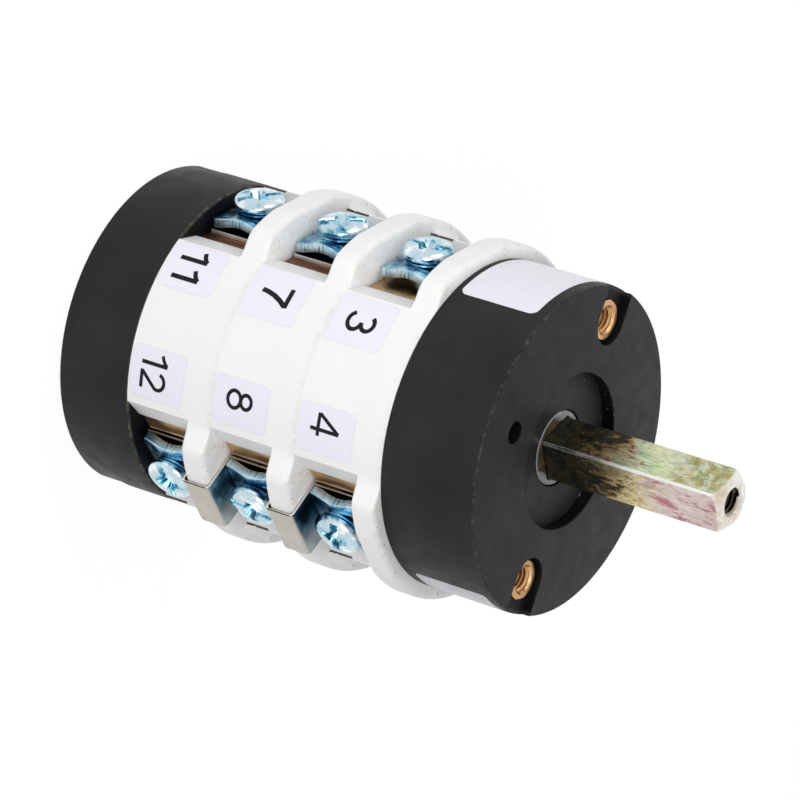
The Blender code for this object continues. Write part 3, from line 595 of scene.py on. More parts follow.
# Head, recess and rim: painted highlights and painted dark reflections in the base colour
ZINC_HEAD = zinc_painted_reflections(
    "blue_zinc_head", 230, 0.16, (0.33, (0.03, 0.07, 0.11)), (0.38, (0.14, 0.4, 0.55)), (0.44, (0.46, 0.62, 0.7)),
    (0.56, (0.56, 0.69, 0.75)), (0.62, (0.8, 0.87, 0.9)), (0.7, (0.95, 0.97, 0.98)))
ZINC_RECESS = zinc_painted_reflections(
    "blue_zinc_recess", 520, 0.15, (0.36, (0.02, 0.05, 0.07)), (0.42, (0.12, 0.34, 0.47)), (0.5, (0.27, 0.56, 0.69)),
    (0.58, (0.52, 0.76, 0.84)), (0.64, (0.94, 0.97, 0.98)))
ZINC_RIM = zinc_painted_reflections(
    "blue_zinc_rim", 420, 0.2, (0.38, (0.02, 0.05, 0.1)), (0.44, (0.16, 0.36, 0.52)), (0.52, (0.55, 0.78, 0.9)),
    (0.6, (0.92, 0.96, 0.98)))
ZINC_SADDLE = blue_zinc("blue_zinc_saddle", (0.3, 0.52, 0.65), (0.46, 0.65, 0.74), (0.64, 0.78, 0.84), 0.8, 0.34)
# Darker copy of the saddle's zinc for its top faces: painted shade
ZINC_TOP_SHADED = blue_zinc("blue_zinc_top", (0.03, 0.1, 0.19), (0.16, 0.36, 0.52), (0.42, 0.7, 0.84))
ZINC_WASHER = blue_zinc("blue_zinc_washer", (0.05, 0.16, 0.3), (0.25, 0.56, 0.8), (0.62, 0.88, 0.98))
# Near-black for the saddle's underside: painted shadow under the arch
ZINC_UNDER_SHADED = grained("saddle_underside_look", (0.004, 0.006, 0.008), (0.02, 0.03, 0.04), 0.43, 0.6)
CLAMP_LOOKS = [ZINC_HEAD, ZINC_RECESS, ZINC_RIM, ZINC_SADDLE, ZINC_TOP_SHADED, ZINC_UNDER_SHADED, ZINC_WASHER]
STRIP = bronze("bronze_strip", (0.46, 0.28, 0.13), (0.66, 0.44, 0.24), 0.36, (5, 5, 0.5))
# Darker copy of the bronze strip: painted shade for the strips that lie in shadow
SHADED_STRIP = bronze("tarnished_strip", (0.13, 0.055, 0.028), (0.3, 0.14, 0.07), 0.4, (5, 5, 0.5))
CONTACT = bronze("contact_brass_look", (0.42, 0.26, 0.11), (0.66, 0.46, 0.22))
INSERT = bronze("insert_brass_look", (0.45, 0.24, 0.1), (0.74, 0.46, 0.24), 0.3, (1, 1, 1))
LAYERS = laminated()
PLATE = clamp_plate_look()
NICKEL = satin_nickel()
RAINBOW = rainbow_zinc()
GREY = grained("grey_steel_look", (0.3, 0.3, 0.3), (0.48, 0.48, 0.47), 0.31, 0.48)
CAST = cast_hub()
SPRING = grained("spring_steel_look", (0.25, 0.25, 0.26), (0.42, 0.42, 0.43), 0.23, 0.4)
PLASTIC = grained("dark_plastic_look", (0.06, 0.035, 0.025), (0.12, 0.07, 0.05), 0.38, 0.55, 0.0, 700, 400)
STICKER = paper("sticker_paper", (0.81, 0.79, 0.9), (0.84, 0.82, 0.93))
LABEL = paper("label_print", (0.78, 0.78, 0.85), (0.82, 0.82, 0.89))
LABEL_EDGE = paper("label_edge", (0.76, 0.75, 0.79), (0.82, 0.81, 0.85))
SILVER_LABEL = paper("silver_label", (0.42, 0.43, 0.46), (0.55, 0.56, 0.6), 0.3)
INK = ink()


# Placing

def place(name, mesh, looks, nodes=(), location=(0, 0, 0), rotation=(0, 0, 0), body="housing"):
    if not mesh.materials:
        for look in looks:
            mesh.materials.append(look)
    piece = linked(name, mesh)
    piece.location = location
    piece.rotation_euler = rotation
    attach(piece, body)
    if nodes:
        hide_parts(*nodes)


# Mouldings

def notch(side):
    """Round-ended notch from a bolt out through the body's edge."""
    half = 4.45 * MM
    points = [(x + BOLT_CIRCLE, y) for x, y in arc(half, pi, 2 * pi, 24)]
    reach = BODY_RADIUS + half
    points += [(reach, -half), (reach, half)]
    return [(side * x, side * y) for x, y in points]


def rear_cap():
    body = turned("rear_cap_look", rounded_profile(BODY_RADIUS, 0, CAP_LENGTH, 0.5 * MM, 0.35 * MM), 180)
    above = CAP_LENGTH + MM
    tools = []
    for side in SIDES:
        tools.append(column("bolt_hole", BOLT_HOLE, -MM, above, 32, (side * BOLT_CIRCLE, 0)))
        tools.append(prism("notch", notch(side), -MM, 5.5 * MM))
    tools.append(column("journal_bore", 4.2 * MM, 4.7 * MM, above, 48))
    place("rear_cap_shell", smoothed(cut(body, tools)), [BLACK], ["rear_cap"])


def core_outline():
    quarter = arc(BODY_RADIUS, 0, BLOCK_HALF_ANGLE, 30)
    quarter.append(in_pocket(SHOULDER_FOOT, -POCKET_NEAR_WALL))
    quarter.append(in_pocket(POCKET_FLOOR, -POCKET_NEAR_WALL))
    rib_foot = (POCKET_FLOOR * cos(TERMINAL_ANGLE) - RIB_HALF_WIDTH) / sin(TERMINAL_ANGLE)
    quarter.append(in_pocket(POCKET_FLOOR, rib_foot))
    quarter += arc(BODY_RADIUS, acos(RIB_HALF_WIDTH / BODY_RADIUS), pi / 2, 8)
    return four_fold(quarter)


def flange_outline(inset):
    """Flange that swells from the blocks, with a flat seat for a strap over each pocket."""
    outer = FLANGE_RADIUS - inset
    quarter = arc(BODY_RADIUS, 0, BLOCK_HALF_ANGLE, 30)
    steps = 12
    for i in range(1, steps):
        share = i / steps
        height = share * share * (3 - 2 * share)
        angle = BLOCK_HALF_ANGLE + (FLANGE_FULL_ANGLE - BLOCK_HALF_ANGLE) * share
        quarter.append(polar(BODY_RADIUS + (outer - BODY_RADIUS) * height, angle))
    seat_half_angle = acos(STRAP_SEAT / FLANGE_RADIUS)
    quarter += arc(outer, FLANGE_FULL_ANGLE, TERMINAL_ANGLE - seat_half_angle, 10)
    quarter += arc(outer, TERMINAL_ANGLE + seat_half_angle, pi / 2, 16)
    return four_fold(quarter)


def rib_fillet(side):
    """Concave rise from the rib's outer face to the flange behind it."""
    half, foot = RIB_HALF_WIDTH - 0.03 * MM, BODY_RADIUS - 0.25 * MM
    low, high = -0.2 * MM, 2.2 * MM
    levels = []
    steps = 8
    for i in range(steps + 1):
        share = i / steps
        rise = 1 - (1 - (1 - share) ** 2) ** 0.5
        outer = BODY_RADIUS + 0.02 * MM + (FLANGE_RADIUS - BODY_RADIUS - 0.9 * MM) * rise
        half_angle = asin(half / outer)
        ring = arc(outer, pi / 2 - half_angle, pi / 2 + half_angle, 8) + [(foot, half), (foot, -half)]
        levels.append((low + (high - low) * share, [(side * x, side * y) for x, y in ring]))
    return smoothed(stacked("rib_fillet", levels))


def corner_boxes(name, x0, x1, y0, y1, z0, z1):
    """The same upright box at all four ribs' corners."""
    boxes = []
    for side in SIDES:
        for end in SIDES:
            (left, right), (near, far) = sorted((side * x0, side * x1)), sorted((end * y0, end * y1))
            boxes.append(prism(name, [(left, near), (right, near), (right, far), (left, far)], z0, z1))
    return boxes


def stage_shell():
    foot_round, top_round, above = 0.8 * MM, 1.2 * MM, PITCH + MM
    core = prism("stage_shell", core_outline(), 0.03 * MM, CORE_LENGTH + MM)
    levels = [(CORE_LENGTH + foot_round - h, flange_outline(i)) for h, i in reversed(rounding(foot_round, 5))]
    levels += [(PITCH - top_round + h, flange_outline(i)) for h, i in rounding(top_round, 6)]
    tools = [prism("chamber", oblong(13 * MM, 14 * MM), -MM, CORE_LENGTH),
             column("shaft_hole", 6.45 * MM, 0, above, 48)]
    tools += [column("bolt_hole", BOLT_HOLE, -MM, above, 32, (side * BOLT_CIRCLE, 0)) for side in SIDES]
    tools += corner_boxes("slit", 30.3 * MM, 32 * MM, 4.65 * MM, 5.5 * MM, -MM, 5.1 * MM)
    return smoothed(cut(joined(core, [stacked("flange", levels)]), tools))


def stages():
    shell = stage_shell()
    # Brown edge of an insulating sheet that shows in a slit along each rib's corner
    sheets = corner_boxes("fill", 30.2 * MM, 30.72 * MM, 4.4 * MM, 4.93 * MM, 0.1 * MM, 5.05 * MM)
    fill = joined(sheets[0], sheets[1:], 0.05 * MM)
    for k in range(STAGES):
        place("stage_shell_%d" % (k + 1), shell, [WHITE], ["stage_housing_%d" % (k + 1)],
              stage_place(k))
    for k in range(STAGES):
        place("slit_fill_%d" % (k + 1), fill, [PLASTIC], (), stage_place(k))
    fillets = (("left", rib_fillet(-1)), ("right", rib_fillet(1)))
    for k in range(1, STAGES):
        for side, mesh in fillets:
            place("rib_fillet_%s_%d" % (side, k), mesh, [WHITE], (), stage_place(k))


def front_housing():
    recess, eased = 14.7 * MM, 0.2 * MM
    body = turned("front_housing_look", rounded_profile(
        BODY_RADIUS, STACK_TOP + 0.03 * MM, FRONT_FACE, 0.15 * MM, 0.4 * MM), 180)
    tools = [
        turned("recess", [(recess, RECESS_FLOOR), (recess, FRONT_FACE - eased),
                          (recess + eased, FRONT_FACE + 0.01 * MM), (recess + eased, SHAFT_TOP)], 120),
        column("hub_bore", 7.3 * MM, STACK_TOP + 2 * MM, SHAFT_TOP, 64),
        column("return_chamber", 13 * MM, STACK_TOP - MM, RECESS_FLOOR - 5 * MM, 64),
        turned("locating_hole", [(2.1 * MM, FRONT_FACE - 8 * MM), (2.1 * MM, FRONT_FACE - 0.2 * MM),
                                 (2.35 * MM, FRONT_FACE + 0.05 * MM), (2.35 * MM, SHAFT_TOP)], 40,
               polar(21 * MM, 0)),
    ]
    for side in SIDES:
        centre = (side * BOLT_CIRCLE, 0)
        tools.append(column("insert_bore", 3.95 * MM, FRONT_FACE - 13.5 * MM, SHAFT_TOP, 48, centre))
        tools.append(column("bolt_hole", BOLT_HOLE, STACK_TOP - MM, FRONT_FACE, 32, centre))
        tools.append(prism("notch", notch(side), FRONT_FACE - 1.5 * MM, SHAFT_TOP))
    place("front_housing_shell", smoothed(cut(body, tools)), [BLACK], ["front_housing"])


# Shaft and hub

def square_outline(flats, corner):
    short = flats / 2 * 2 ** 0.5 - corner
    right = [(short, -corner), (corner, -short), (corner, short), (short, corner)]
    return right + [(-x, -y) for x, y in right]


def thread_mesh(name, inner, outer, pitch, z0, z1):
    """Inside thread: a ridge that winds up the wall of a bore."""
    steps = 32
    rows = []
    for i in range(int((z1 - z0) / pitch * steps) + 1):
        rows.append([(*polar(radius, 2 * pi * i / steps), z0 + pitch * (i / steps + 0.98 * lift))
                     for radius, lift in ((outer, -0.5), (inner, -0.08), (inner, 0.08), (outer, 0.5))])
    return smoothed(skin(name, rows, True), 30)


def shaft():
    bar = prism("shaft_look", square_outline(8.8 * MM, 5.85 * MM), CAP_LENGTH + CLEAR, SHAFT_TOP)
    cone = turned("cone", [(8 * MM, 0), (8 * MM, SHAFT_TOP - 3.1 * MM), (4.35 * MM, SHAFT_TOP - 0.06 * MM),
                           (4.25 * MM, SHAFT_TOP)], 96)
    journal = column("journal", 3.9 * MM, 5 * MM, CAP_LENGTH + MM, 48)
    hole = turned("hole", [(2.6 * MM, SHAFT_TOP - 12 * MM), (2.6 * MM, SHAFT_TOP - 0.3 * MM),
                           (2.85 * MM, SHAFT_TOP - 0.05 * MM), (2.95 * MM, SHAFT_TOP + MM)], 64)
    body = cut(joined(combined(bar, [cone], "INTERSECT"), [journal]), [hole])
    place("shaft_bar", smoothed(body, 25), [RAINBOW], ["drive_shaft"], body="rotor")
    ridge = thread_mesh("shaft_thread", 2.15 * MM, 2.65 * MM, 0.9 * MM, SHAFT_TOP - 11 * MM, SHAFT_TOP - 0.55 * MM)
    place("shaft_thread", ridge, [RAINBOW], body="rotor")


def hub():
    """Return hub, with the eased rim that shows round the shaft's foot."""
    foot = STACK_TOP + 0.5 * MM
    disc_top = foot + 2.4 * MM
    body = turned("hub_look", [(9.9 * MM, foot), (9.9 * MM, disc_top), (7.0 * MM, disc_top),
                               (7.0 * MM, RECESS_FLOOR - 0.3 * MM), (6.7 * MM, RECESS_FLOOR)], 96)
    bore = prism("bore", square_outline(9.4 * MM, 6.15 * MM), foot - MM, RECESS_FLOOR + MM)
    place("hub_drum", smoothed(cut(body, [bore])), [CAST], ["return_hub"], body="rotor")


# Terminals, plates and screws, drawn as (across, up, outward) and then carried into the pocket

STRIP_FOOT = POCKET_FLOOR + CLEAR
STRIP_TOP = STRIP_FOOT + 1.0 * MM
LINK_FOOT = STRIP_TOP + CLEAR
PLATE_FOOT = STRIP_TOP + 0.03 * MM
SADDLE_FOOT = 26.45 * MM
SADDLE_RISE = 1.1 * MM
SADDLE_THICKNESS = 1.9 * MM
SADDLE_TOP = SADDLE_FOOT + SADDLE_RISE + SADDLE_THICKNESS
WASHER_TOP = SADDLE_TOP + 0.5 * MM
HEAD_TOP = 32.2 * MM
HEAD_RADIUS = 4.8 * MM
HEAD_RIM = HEAD_TOP - 1.25 * MM
HEAD_ROUND = 1.3 * MM
CROWN_RADIUS = 3.5 * MM
PLATE_HOLE = 2.8 * MM


def strip():
    """Flat strip on the pocket floor, with its leg and contact pad in the contact room."""
    near_end, far_end = CLEAR - POCKET_NEAR_WALL, 7 * MM
    leg_inner, leg_outer, pad_face = 18.1 * MM, 19.1 * MM, 17.3 * MM

    def floor_point(y):
        return (STRIP_FOOT + y * cos(TERMINAL_ANGLE)) / sin(TERMINAL_ANGLE), y

    body = prism("strip_look", [
        in_pocket(STRIP_TOP, near_end), in_pocket(STRIP_TOP, far_end), in_pocket(STRIP_FOOT, far_end),
        floor_point(-leg_inner), (10.5 * MM, -leg_inner), (10.5 * MM, -pad_face),
        (6.5 * MM, -pad_face), (6.5 * MM, -leg_inner), (5.5 * MM, -leg_inner), (5.5 * MM, -leg_outer),
        floor_point(-leg_outer), in_pocket(STRIP_FOOT, near_end),
    ], -6.5 * MM, 6.5 * MM)
    hole = column("plate_hole", PLATE_HOLE, STRIP_FOOT - MM, STRIP_TOP + MM, 48)
    return smoothed(cut(body, [pocket_mesh(hole)], 0.08 * MM), 30)


def plate(name, low, high, reach=6.7 * MM):
    """Flat plate with rounded corners and eased edges."""
    corner, edge = 0.3 * MM, 0.06 * MM
    full, eased = [rounded_oblong(reach - corner, 6.2 * MM - corner, corner - inset, 6) for inset in (0, edge)]
    mesh = stacked(name, [(low, eased), (low + edge, full), (high - edge, full), (high, eased)])
    return smoothed(pocket_mesh(mesh), 30)


def saddle():
    """Arched saddle with rounded corners."""
    steps = 40
    half_length, half_width, corner, edge = 6.1 * MM, 6.4 * MM, 0.6 * MM, 0.3 * MM
    rings = []
    for i in range(steps + 1):
        share = 2 * i / steps - 1
        from_end = half_length * (1 - abs(share))
        thin = set_back(edge, from_end)
        foot = SADDLE_FOOT + SADDLE_RISE * cos(share * pi / 2) ** 2 + thin
        half_high = SADDLE_THICKNESS / 2 - thin
        soft = min(edge, 2 * half_high / 2.01)
        ring = rounded_oblong(half_width - set_back(corner, from_end) - soft, half_high - soft, soft, 3)
        rings.append([(across, share * half_length, foot + half_high + outward) for across, outward in ring])
    return skin("saddle", rings)


def washer():
    """Split lock washer."""
    steps, gap = 64, radians(7)
    inner, outer, eased = 2.6 * MM, 4.3 * MM, 0.06 * MM
    foot, thick, twist = SADDLE_TOP + 0.02 * MM, 0.4 * MM, 0.05 * MM
    section = ((inner, 0.06), (inner, 0.94), (inner + eased, 1), (outer - 2 * eased, 1),
               (outer, 0.86), (outer, 0.14), (outer - 2 * eased, 0), (inner + eased, 0))
    rings = []
    for i in range(steps + 1):
        angle = gap + (2 * pi - 2 * gap) * i / steps
        low = foot + twist * i / steps
        rings.append([(*polar(radius, angle), low + thick * height) for radius, height in section])
    return skin("washer", rings)


def screw_head(turn):
    """Pan head with a wide slot across and a cross recess in its middle."""
    foot, shank = WASHER_TOP, 2.5 * MM
    profile = [(shank, POCKET_FLOOR - 5 * MM), (shank, foot), (3.7 * MM, foot), (4.3 * MM, foot + 0.2 * MM),
               (4.7 * MM, foot + 0.5 * MM), (HEAD_RADIUS, foot + 0.75 * MM)]
    profile += [(HEAD_RADIUS - inset, HEAD_RIM + height) for height, inset in rounding(HEAD_ROUND, 8)]
    for share in (0.75, 0.5, 0.25, 0.0):
        profile.append((CROWN_RADIUS * share, HEAD_RIM + HEAD_ROUND + 0.2 * MM * (1 - share * share)))
    slot = stacked("slot", [
        (HEAD_TOP - 1.1 * MM, oblong(3.7 * MM, 0.5 * MM)), (HEAD_TOP - 0.1 * MM, oblong(4.5 * MM, 0.8 * MM)),
        (HEAD_TOP + 0.5 * MM, oblong(5.2 * MM, 1.1 * MM)),
    ])
    cross = Matrix.Rotation(turn, 4, "Z")
    slot.transform(cross)
    tools = [slot]
    for quarter in (0, pi / 2):
        arm = stacked("arm", [(HEAD_TOP - 2.1 * MM, oblong(1.1 * MM, 0.42 * MM)),
                              (HEAD_TOP + 0.4 * MM, oblong(2.8 * MM, 0.85 * MM))])
        arm.transform(cross @ Matrix.Rotation(quarter, 4, "Z"))
        tools.append(arm)
    tools.append(turned("cup", [(0.5 * MM, HEAD_TOP - 2.2 * MM), (1.9 * MM, HEAD_TOP + 0.3 * MM)], 32))
    return cut(turned("screw", profile, 64), tools)


def head_slot(centre, normal):
    """0 for the dome, 1 for slot and recess, 2 for the rim."""
    radius = (centre.x ** 2 + centre.y ** 2) ** 0.5
    dome = HEAD_TOP - 0.12 * MM
    past_crown = (radius - CROWN_RADIUS) / HEAD_ROUND
    if past_crown > 0:
        dome -= HEAD_ROUND * (1 - max(0.0, 1 - past_crown ** 2) ** 0.5)
    if HEAD_RIM - MM < centre.z < dome - 0.12 * MM and radius < 4.6 * MM:
        return 1
    return 2 if centre.z < HEAD_RIM + 0.3 * MM else 0


def saddle_slot(centre, normal):
    """3 for the edges, 4 for the top in a darker painted-shade copy, 5 for the underside in near-black painted
    shadow.
    """
    if normal.z > 0.93:
        return 4
    return 5 if normal.z < -0.6 else 3


def washer_slot(centre, normal):
    return 6


# Degrees that each head's slot is turned by
HEAD_TURNS = {
    "near_right": (4, 78, -14), "near_left": (-32, -52, -96), "far_right": (80, 10, -50), "far_left": (35, -15, 55),
}


def terminals():
    pale_strip = strip()
    shaded_strip = pale_strip.copy()
    clamp_plate = plate("plate_look", PLATE_FOOT, 26.2 * MM)
    low_layer = plate("low_layer", PLATE_FOOT, 25.66 * MM)
    high_layer = plate("high_layer", 26.22 * MM, 26.5 * MM, 6.5 * MM)
    saddle_mesh, washer_mesh = saddle(), washer()
    for k in range(STAGES):
        middle = stage_place(k, CORE_LENGTH / 2)
        for quarter, turn in QUARTERS:
            tag = "%s_%d" % (quarter, k + 1)
            # near_left_1 and near_left_2 take the darker copy of the strip: painted shade
            if tag in ("near_left_1", "near_left_2"):
                mesh, look = shaded_strip, SHADED_STRIP
            else:
                mesh, look = pale_strip, STRIP
            place("strip_" + tag, mesh, [look], ["terminal_" + tag], middle, turn)
            if quarter == "near_right":
                place("low_plate_" + tag, low_layer, [LAYERS], (), middle, turn)
                place("high_plate_" + tag, high_layer, [LAYERS], (), middle, turn)
            elif tag != "near_left_3":
                place("plate_" + tag, clamp_plate, [PLATE], (), middle, turn)
            clamp = merged("clamp_screw_look", [
                (screw_head(radians(HEAD_TURNS[quarter][k])), head_slot), (saddle_mesh, saddle_slot),
                (washer_mesh, washer_slot)])
            place("screw_" + tag, smoothed(pocket_mesh(clamp), 32), CLAMP_LOOKS,
                  ["clamp_screw_" + tag], middle, turn)


# Jumper straps

def bend(corner, before, after, radius):
    """Quarter round in a path's corner, from the side of one neighbour to the other's."""
    a, b = (Vector(before) - Vector(corner)).normalized(), (Vector(after) - Vector(corner)).normalized()
    centre = Vector(corner) + (a + b) * radius
    angles = [pi / 2 * i / 6 for i in range(7)]
    return [tuple(centre - b * radius * cos(angle) - a * radius * sin(angle)) for angle in angles]


def strap():
    """Jumper strap bent over a flange, with forked feet."""
    leg, reach = FLANGE_THICKNESS / 2 + 0.2 * MM, PITCH / 2 - CLEAR
    seat, thick = STRAP_SEAT + 0.32 * MM, 0.45 * MM
    foot, shoulder, half = 0.35 * MM, 0.6 * MM, 5.8 * MM

    def side(out, at_foot, at_shoulder):
        low, wide = LINK_FOOT + out, leg + out
        path = [(reach, low), (wide, low), (wide, seat + out), (-wide, seat + out), (-wide, low), (-reach, low)]
        points = [path[0]]
        for i, radius in enumerate((at_foot, at_shoulder, at_shoulder, at_foot), 1):
            points += bend(path[i], path[i - 1], path[i + 1], radius)
        return points + [path[-1]]

    outline = side(thick, foot, shoulder + thick) + side(0, foot + thick, shoulder)[::-1]
    body = skin("strap_look", [[(across, z, outward) for z, outward in outline] for across in (-half, half)], True)
    tools = [column("fork", PLATE_HOLE, STRIP_TOP - MM, SADDLE_FOOT + MM, 32, (0, end * PITCH / 2)) for end in SIDES]
    return smoothed(pocket_mesh(cut(body, tools, 0.08 * MM)), 30)


def straps():
    mesh = strap()
    for k in (1, 2):
        place("strap_%d" % k, mesh, [NICKEL], ["jumper_link_%d" % k],
              stage_place(k, -FLANGE_THICKNESS / 2))


# Inserts and bolts

def insert_face():
    face = FRONT_FACE - 1.1 * MM
    return face - 12 * MM, face


def insert():
    foot, face = insert_face()
    body = turned("insert_look", [(3.7 * MM, foot), (3.8 * MM, foot + 0.1 * MM), (3.8 * MM, face - 0.2 * MM),
                                  (3.6 * MM, face)], 64)
    bore = turned("bore", [(2.45 * MM, foot - MM), (2.45 * MM, face - 0.45 * MM), (2.85 * MM, face - 0.02 * MM),
                           (2.9 * MM, face + MM)], 48)
    return smoothed(cut(body, [bore]))


def tie_bolt():
    seat, wide, shank = 5.2 * MM, 3.9 * MM, 1.9 * MM
    low = seat - 3.5 * MM
    head = turned("tie_bolt_look", [(3.3 * MM, low), (3.75 * MM, low + 0.2 * MM), (wide, low + 0.6 * MM),
                                    (wide, seat), (shank, seat), (shank, FRONT_FACE - 8.1 * MM)], 64)
    slot = prism("slot", oblong(5 * MM, 0.5 * MM), low - MM, low + 1.3 * MM)
    return smoothed(cut(head, [slot]))


def fasteners():
    foot, face = insert_face()
    ridge = thread_mesh("insert_thread_look", 2.05 * MM, 2.5 * MM, 0.8 * MM, foot + MM, face - 0.6 * MM)
    brass, bolt = insert(), tie_bolt()
    for name, x in (("left", -BOLT_CIRCLE), ("right", BOLT_CIRCLE)):
        place("insert_" + name, brass, [INSERT], ["mounting_insert_" + name], (x, 0, 0))
        place("insert_thread_" + name, ridge, [INSERT], (), (x, 0, 0))
        place("bolt_" + name, bolt, [GREY], ["tie_bolt_" + name], (x, 0, 0))


# Stickers and labels

def label(name, columns, height, look):
    """Thin sheet on the body, from (angle, low, high) columns."""
    rings = []
    for angle, low, high in columns:
        inner, outer = polar(BODY_RADIUS - 0.02 * MM, angle), polar(BODY_RADIUS + height, angle)
        rings.append([(*inner, low), (*outer, low), (*outer, high), (*inner, high)])
    place(name, smoothed(skin(name, rings, True), 30), [look])


def rounded_columns(start, end, low, high, corner):
    """Columns of a rectangle with rounded corners, wrapped round the body."""
    width = (end - start) * BODY_RADIUS
    stations = [inset for height, inset in rounding(corner, 8)]
    stations += [corner + (width - 2 * corner) * i / 20 for i in range(1, 20)]
    stations += [width - s for s in reversed(stations[:9])]
    columns = []
    for s in stations:
        back = min(set_back(corner, min(s, width - s)), corner - 0.02 * MM)
        columns.append((start + s / BODY_RADIUS, low + back, high - back))
    return columns


def bow(cx, cy, rx, ry, start, end, steps=14):
    """Arc of an ellipse in a digit's own square, angles in degrees."""
    angles = [radians(start + (end - start) * i / steps) for i in range(steps + 1)]
    return [(cx + rx * cos(angle), cy + ry * sin(angle)) for angle in angles]


# Width and strokes of each digit, one unit high
DIGITS = {
    "0": (0.62, [bow(0.31, 0.5, 0.26, 0.45, 0, 360, 28)]),
    "1": (0.4, [[(0.0, 0.76), (0.12, 0.81), (0.24, 0.89), (0.32, 0.985)], [(0.33, 0.0), (0.33, 1.0)]]),
    "2": (0.64, [bow(0.32, 0.7, 0.26, 0.245, 168, -28) + [(0.06, 0.07)], [(0.02, 0.055), (0.62, 0.055)]]),
    "3": (0.64, [bow(0.31, 0.735, 0.24, 0.21, 155, -88), bow(0.31, 0.29, 0.28, 0.235, 88, -160)]),
    "4": (0.7, [[(0.5, 0.99), (0.03, 0.3)], [(0.0, 0.27), (0.7, 0.27)], [(0.5, 0.0), (0.5, 1.0)]]),
    "5": (0.62, [[(0.58, 0.945), (0.15, 0.945)], [(0.17, 0.97), (0.1, 0.5)],
                 bow(0.31, 0.32, 0.27, 0.27, 138, -158)]),
    "6": (0.62, [bow(0.31, 0.3, 0.26, 0.25, 0, 360, 28), bow(0.43, 0.42, 0.37, 0.525, 78, 190)]),
    "7": (0.62, [[(0.0, 0.94), (0.62, 0.94)], [(0.59, 0.93), (0.44, 0.7), (0.33, 0.45), (0.27, 0.22), (0.24, 0.0)]]),
    "8": (0.66, [bow(0.33, 0.75, 0.23, 0.2, 0, 360, 26), bow(0.33, 0.295, 0.28, 0.245, 0, 360, 28)]),
    "9": (0.62, [bow(0.31, 0.7, 0.26, 0.25, 0, 360, 28), bow(0.19, 0.58, 0.37, 0.525, -102, 10)]),
}


def stroke_sides(points, half):
    """Left and right edges of a stroke of even width."""
    last = len(points) - 1
    closed = abs(points[0][0] - points[last][0]) + abs(points[0][1] - points[last][1]) < 1e-6
    sides = []
    for i, (px, py) in enumerate(points):
        before = points[i - 1] if i > 0 else points[last - 1 if closed else 0]
        after = points[i + 1] if i < last else points[1 if closed else last]
        dx, dy = after[0] - before[0], after[1] - before[1]
        size = (dx * dx + dy * dy) ** 0.5
        nx, ny = -dy / size * half, dx / size * half
        sides.append(((px + nx, py + ny), (px - nx, py - ny)))
    return sides


def refined(points, step):
    """The same line with no segment longer than a step."""
    result = [points[0]]
    for (ax, ay), (bx, by) in zip(points, points[1:]):
        count = max(1, int((((bx - ax) ** 2 + (by - ay) ** 2) ** 0.5) / step) + 1)
        result += [(ax + (bx - ax) * i / count, ay + (by - ay) * i / count) for i in range(1, count + 1)]
    return result


def digits(name, text, angle, z, height, weight):
    """Printed number, its top towards +Z and reading towards +X, wrapped on the body."""
    gap = 0.26 if text == "11" else 0.16
    start = -(sum(DIGITS[c][0] for c in text) + gap * (len(text) - 1)) / 2
    radius = BODY_RADIUS + 0.09 * MM
    builder = bmesh.new()
    for c in text:
        width, strokes = DIGITS[c]
        for stroke in strokes:
            rows = []
            for pair in stroke_sides(refined(stroke, 0.09), weight / 2):
                rows.append([builder.verts.new((*polar(radius, angle + (start + px) * height / BODY_RADIUS),
                                                z + (py - 0.5) * height)) for px, py in pair])
            for a, b in zip(rows, rows[1:]):
                builder.faces.new((a[0], b[0], b[1], a[1]))
            radius += 0.002 * MM
        start += width + gap
    for face in builder.faces:
        face.normal_update()
        middle = face.calc_center_median()
        if face.normal.x * middle.x + face.normal.y * middle.y < 0:
            face.normal_flip()
    mesh = finished(name, builder)
    mesh.shade_smooth()
    return mesh


# Number, far side's number, stage, middle, start and end in degrees, middle along Z, height,
# stroke share of the height
STICKERS = (
    ("12", "10", 0, 17.3, 8.7, 27.4, 5.6, 5.8, 0.125), ("8", "6", 1, 17.6, 10.1, 27.4, 6.2, 5.8, 0.125),
    ("4", "2", 2, 17.0, 10.3, 27.6, 6.2, 6.2, 0.115), ("11", "9", 0, -21.7, -29.7, -12.0, 5.8, 6.0, 0.15),
    ("7", "5", 1, -20.4, -30.2, -10.7, 6.5, 6.4, 0.15), ("3", "1", 2, -19.8, -29.2, -10.8, 6.5, 6.2, 0.135),
)


def stickers():
    rim = 0.25 * MM
    for near, far, stage, middle, start, end, centre, tall, weight in STICKERS:
        base = CAP_LENGTH + stage * PITCH
        low, high = base + 0.35 * MM, base + 12.6 * MM
        for number, turn in ((near, 0.0), (far, pi)):
            a, b = radians(start) + turn, radians(end) + turn
            label("sticker_" + number, rounded_columns(a, b, low, high, 1.2 * MM), 0.05 * MM, LABEL_EDGE)
            inner = rounded_columns(a + rim / BODY_RADIUS, b - rim / BODY_RADIUS, low + rim, high - rim, 1.0 * MM)
            label("print_" + number, inner, 0.07 * MM, STICKER)
            mesh = digits("number_" + number, number, radians(middle) + turn, base + centre * MM, tall * MM, weight)
            place("number_" + number, mesh, [INK])


def labels():
    lift = 0.08 * MM
    label("front_label", rounded_columns(
        radians(-92), radians(-42.5), STACK_TOP + 1.3 * MM, FRONT_FACE - 2.5 * MM, 1.5 * MM), lift, LABEL)
    label("silver_label", rounded_columns(
        radians(71), radians(112), STACK_TOP + 2.6 * MM, FRONT_FACE - 2.0 * MM, 1.0 * MM), lift, SILVER_LABEL)


# Springs and the CAD nodes that stay

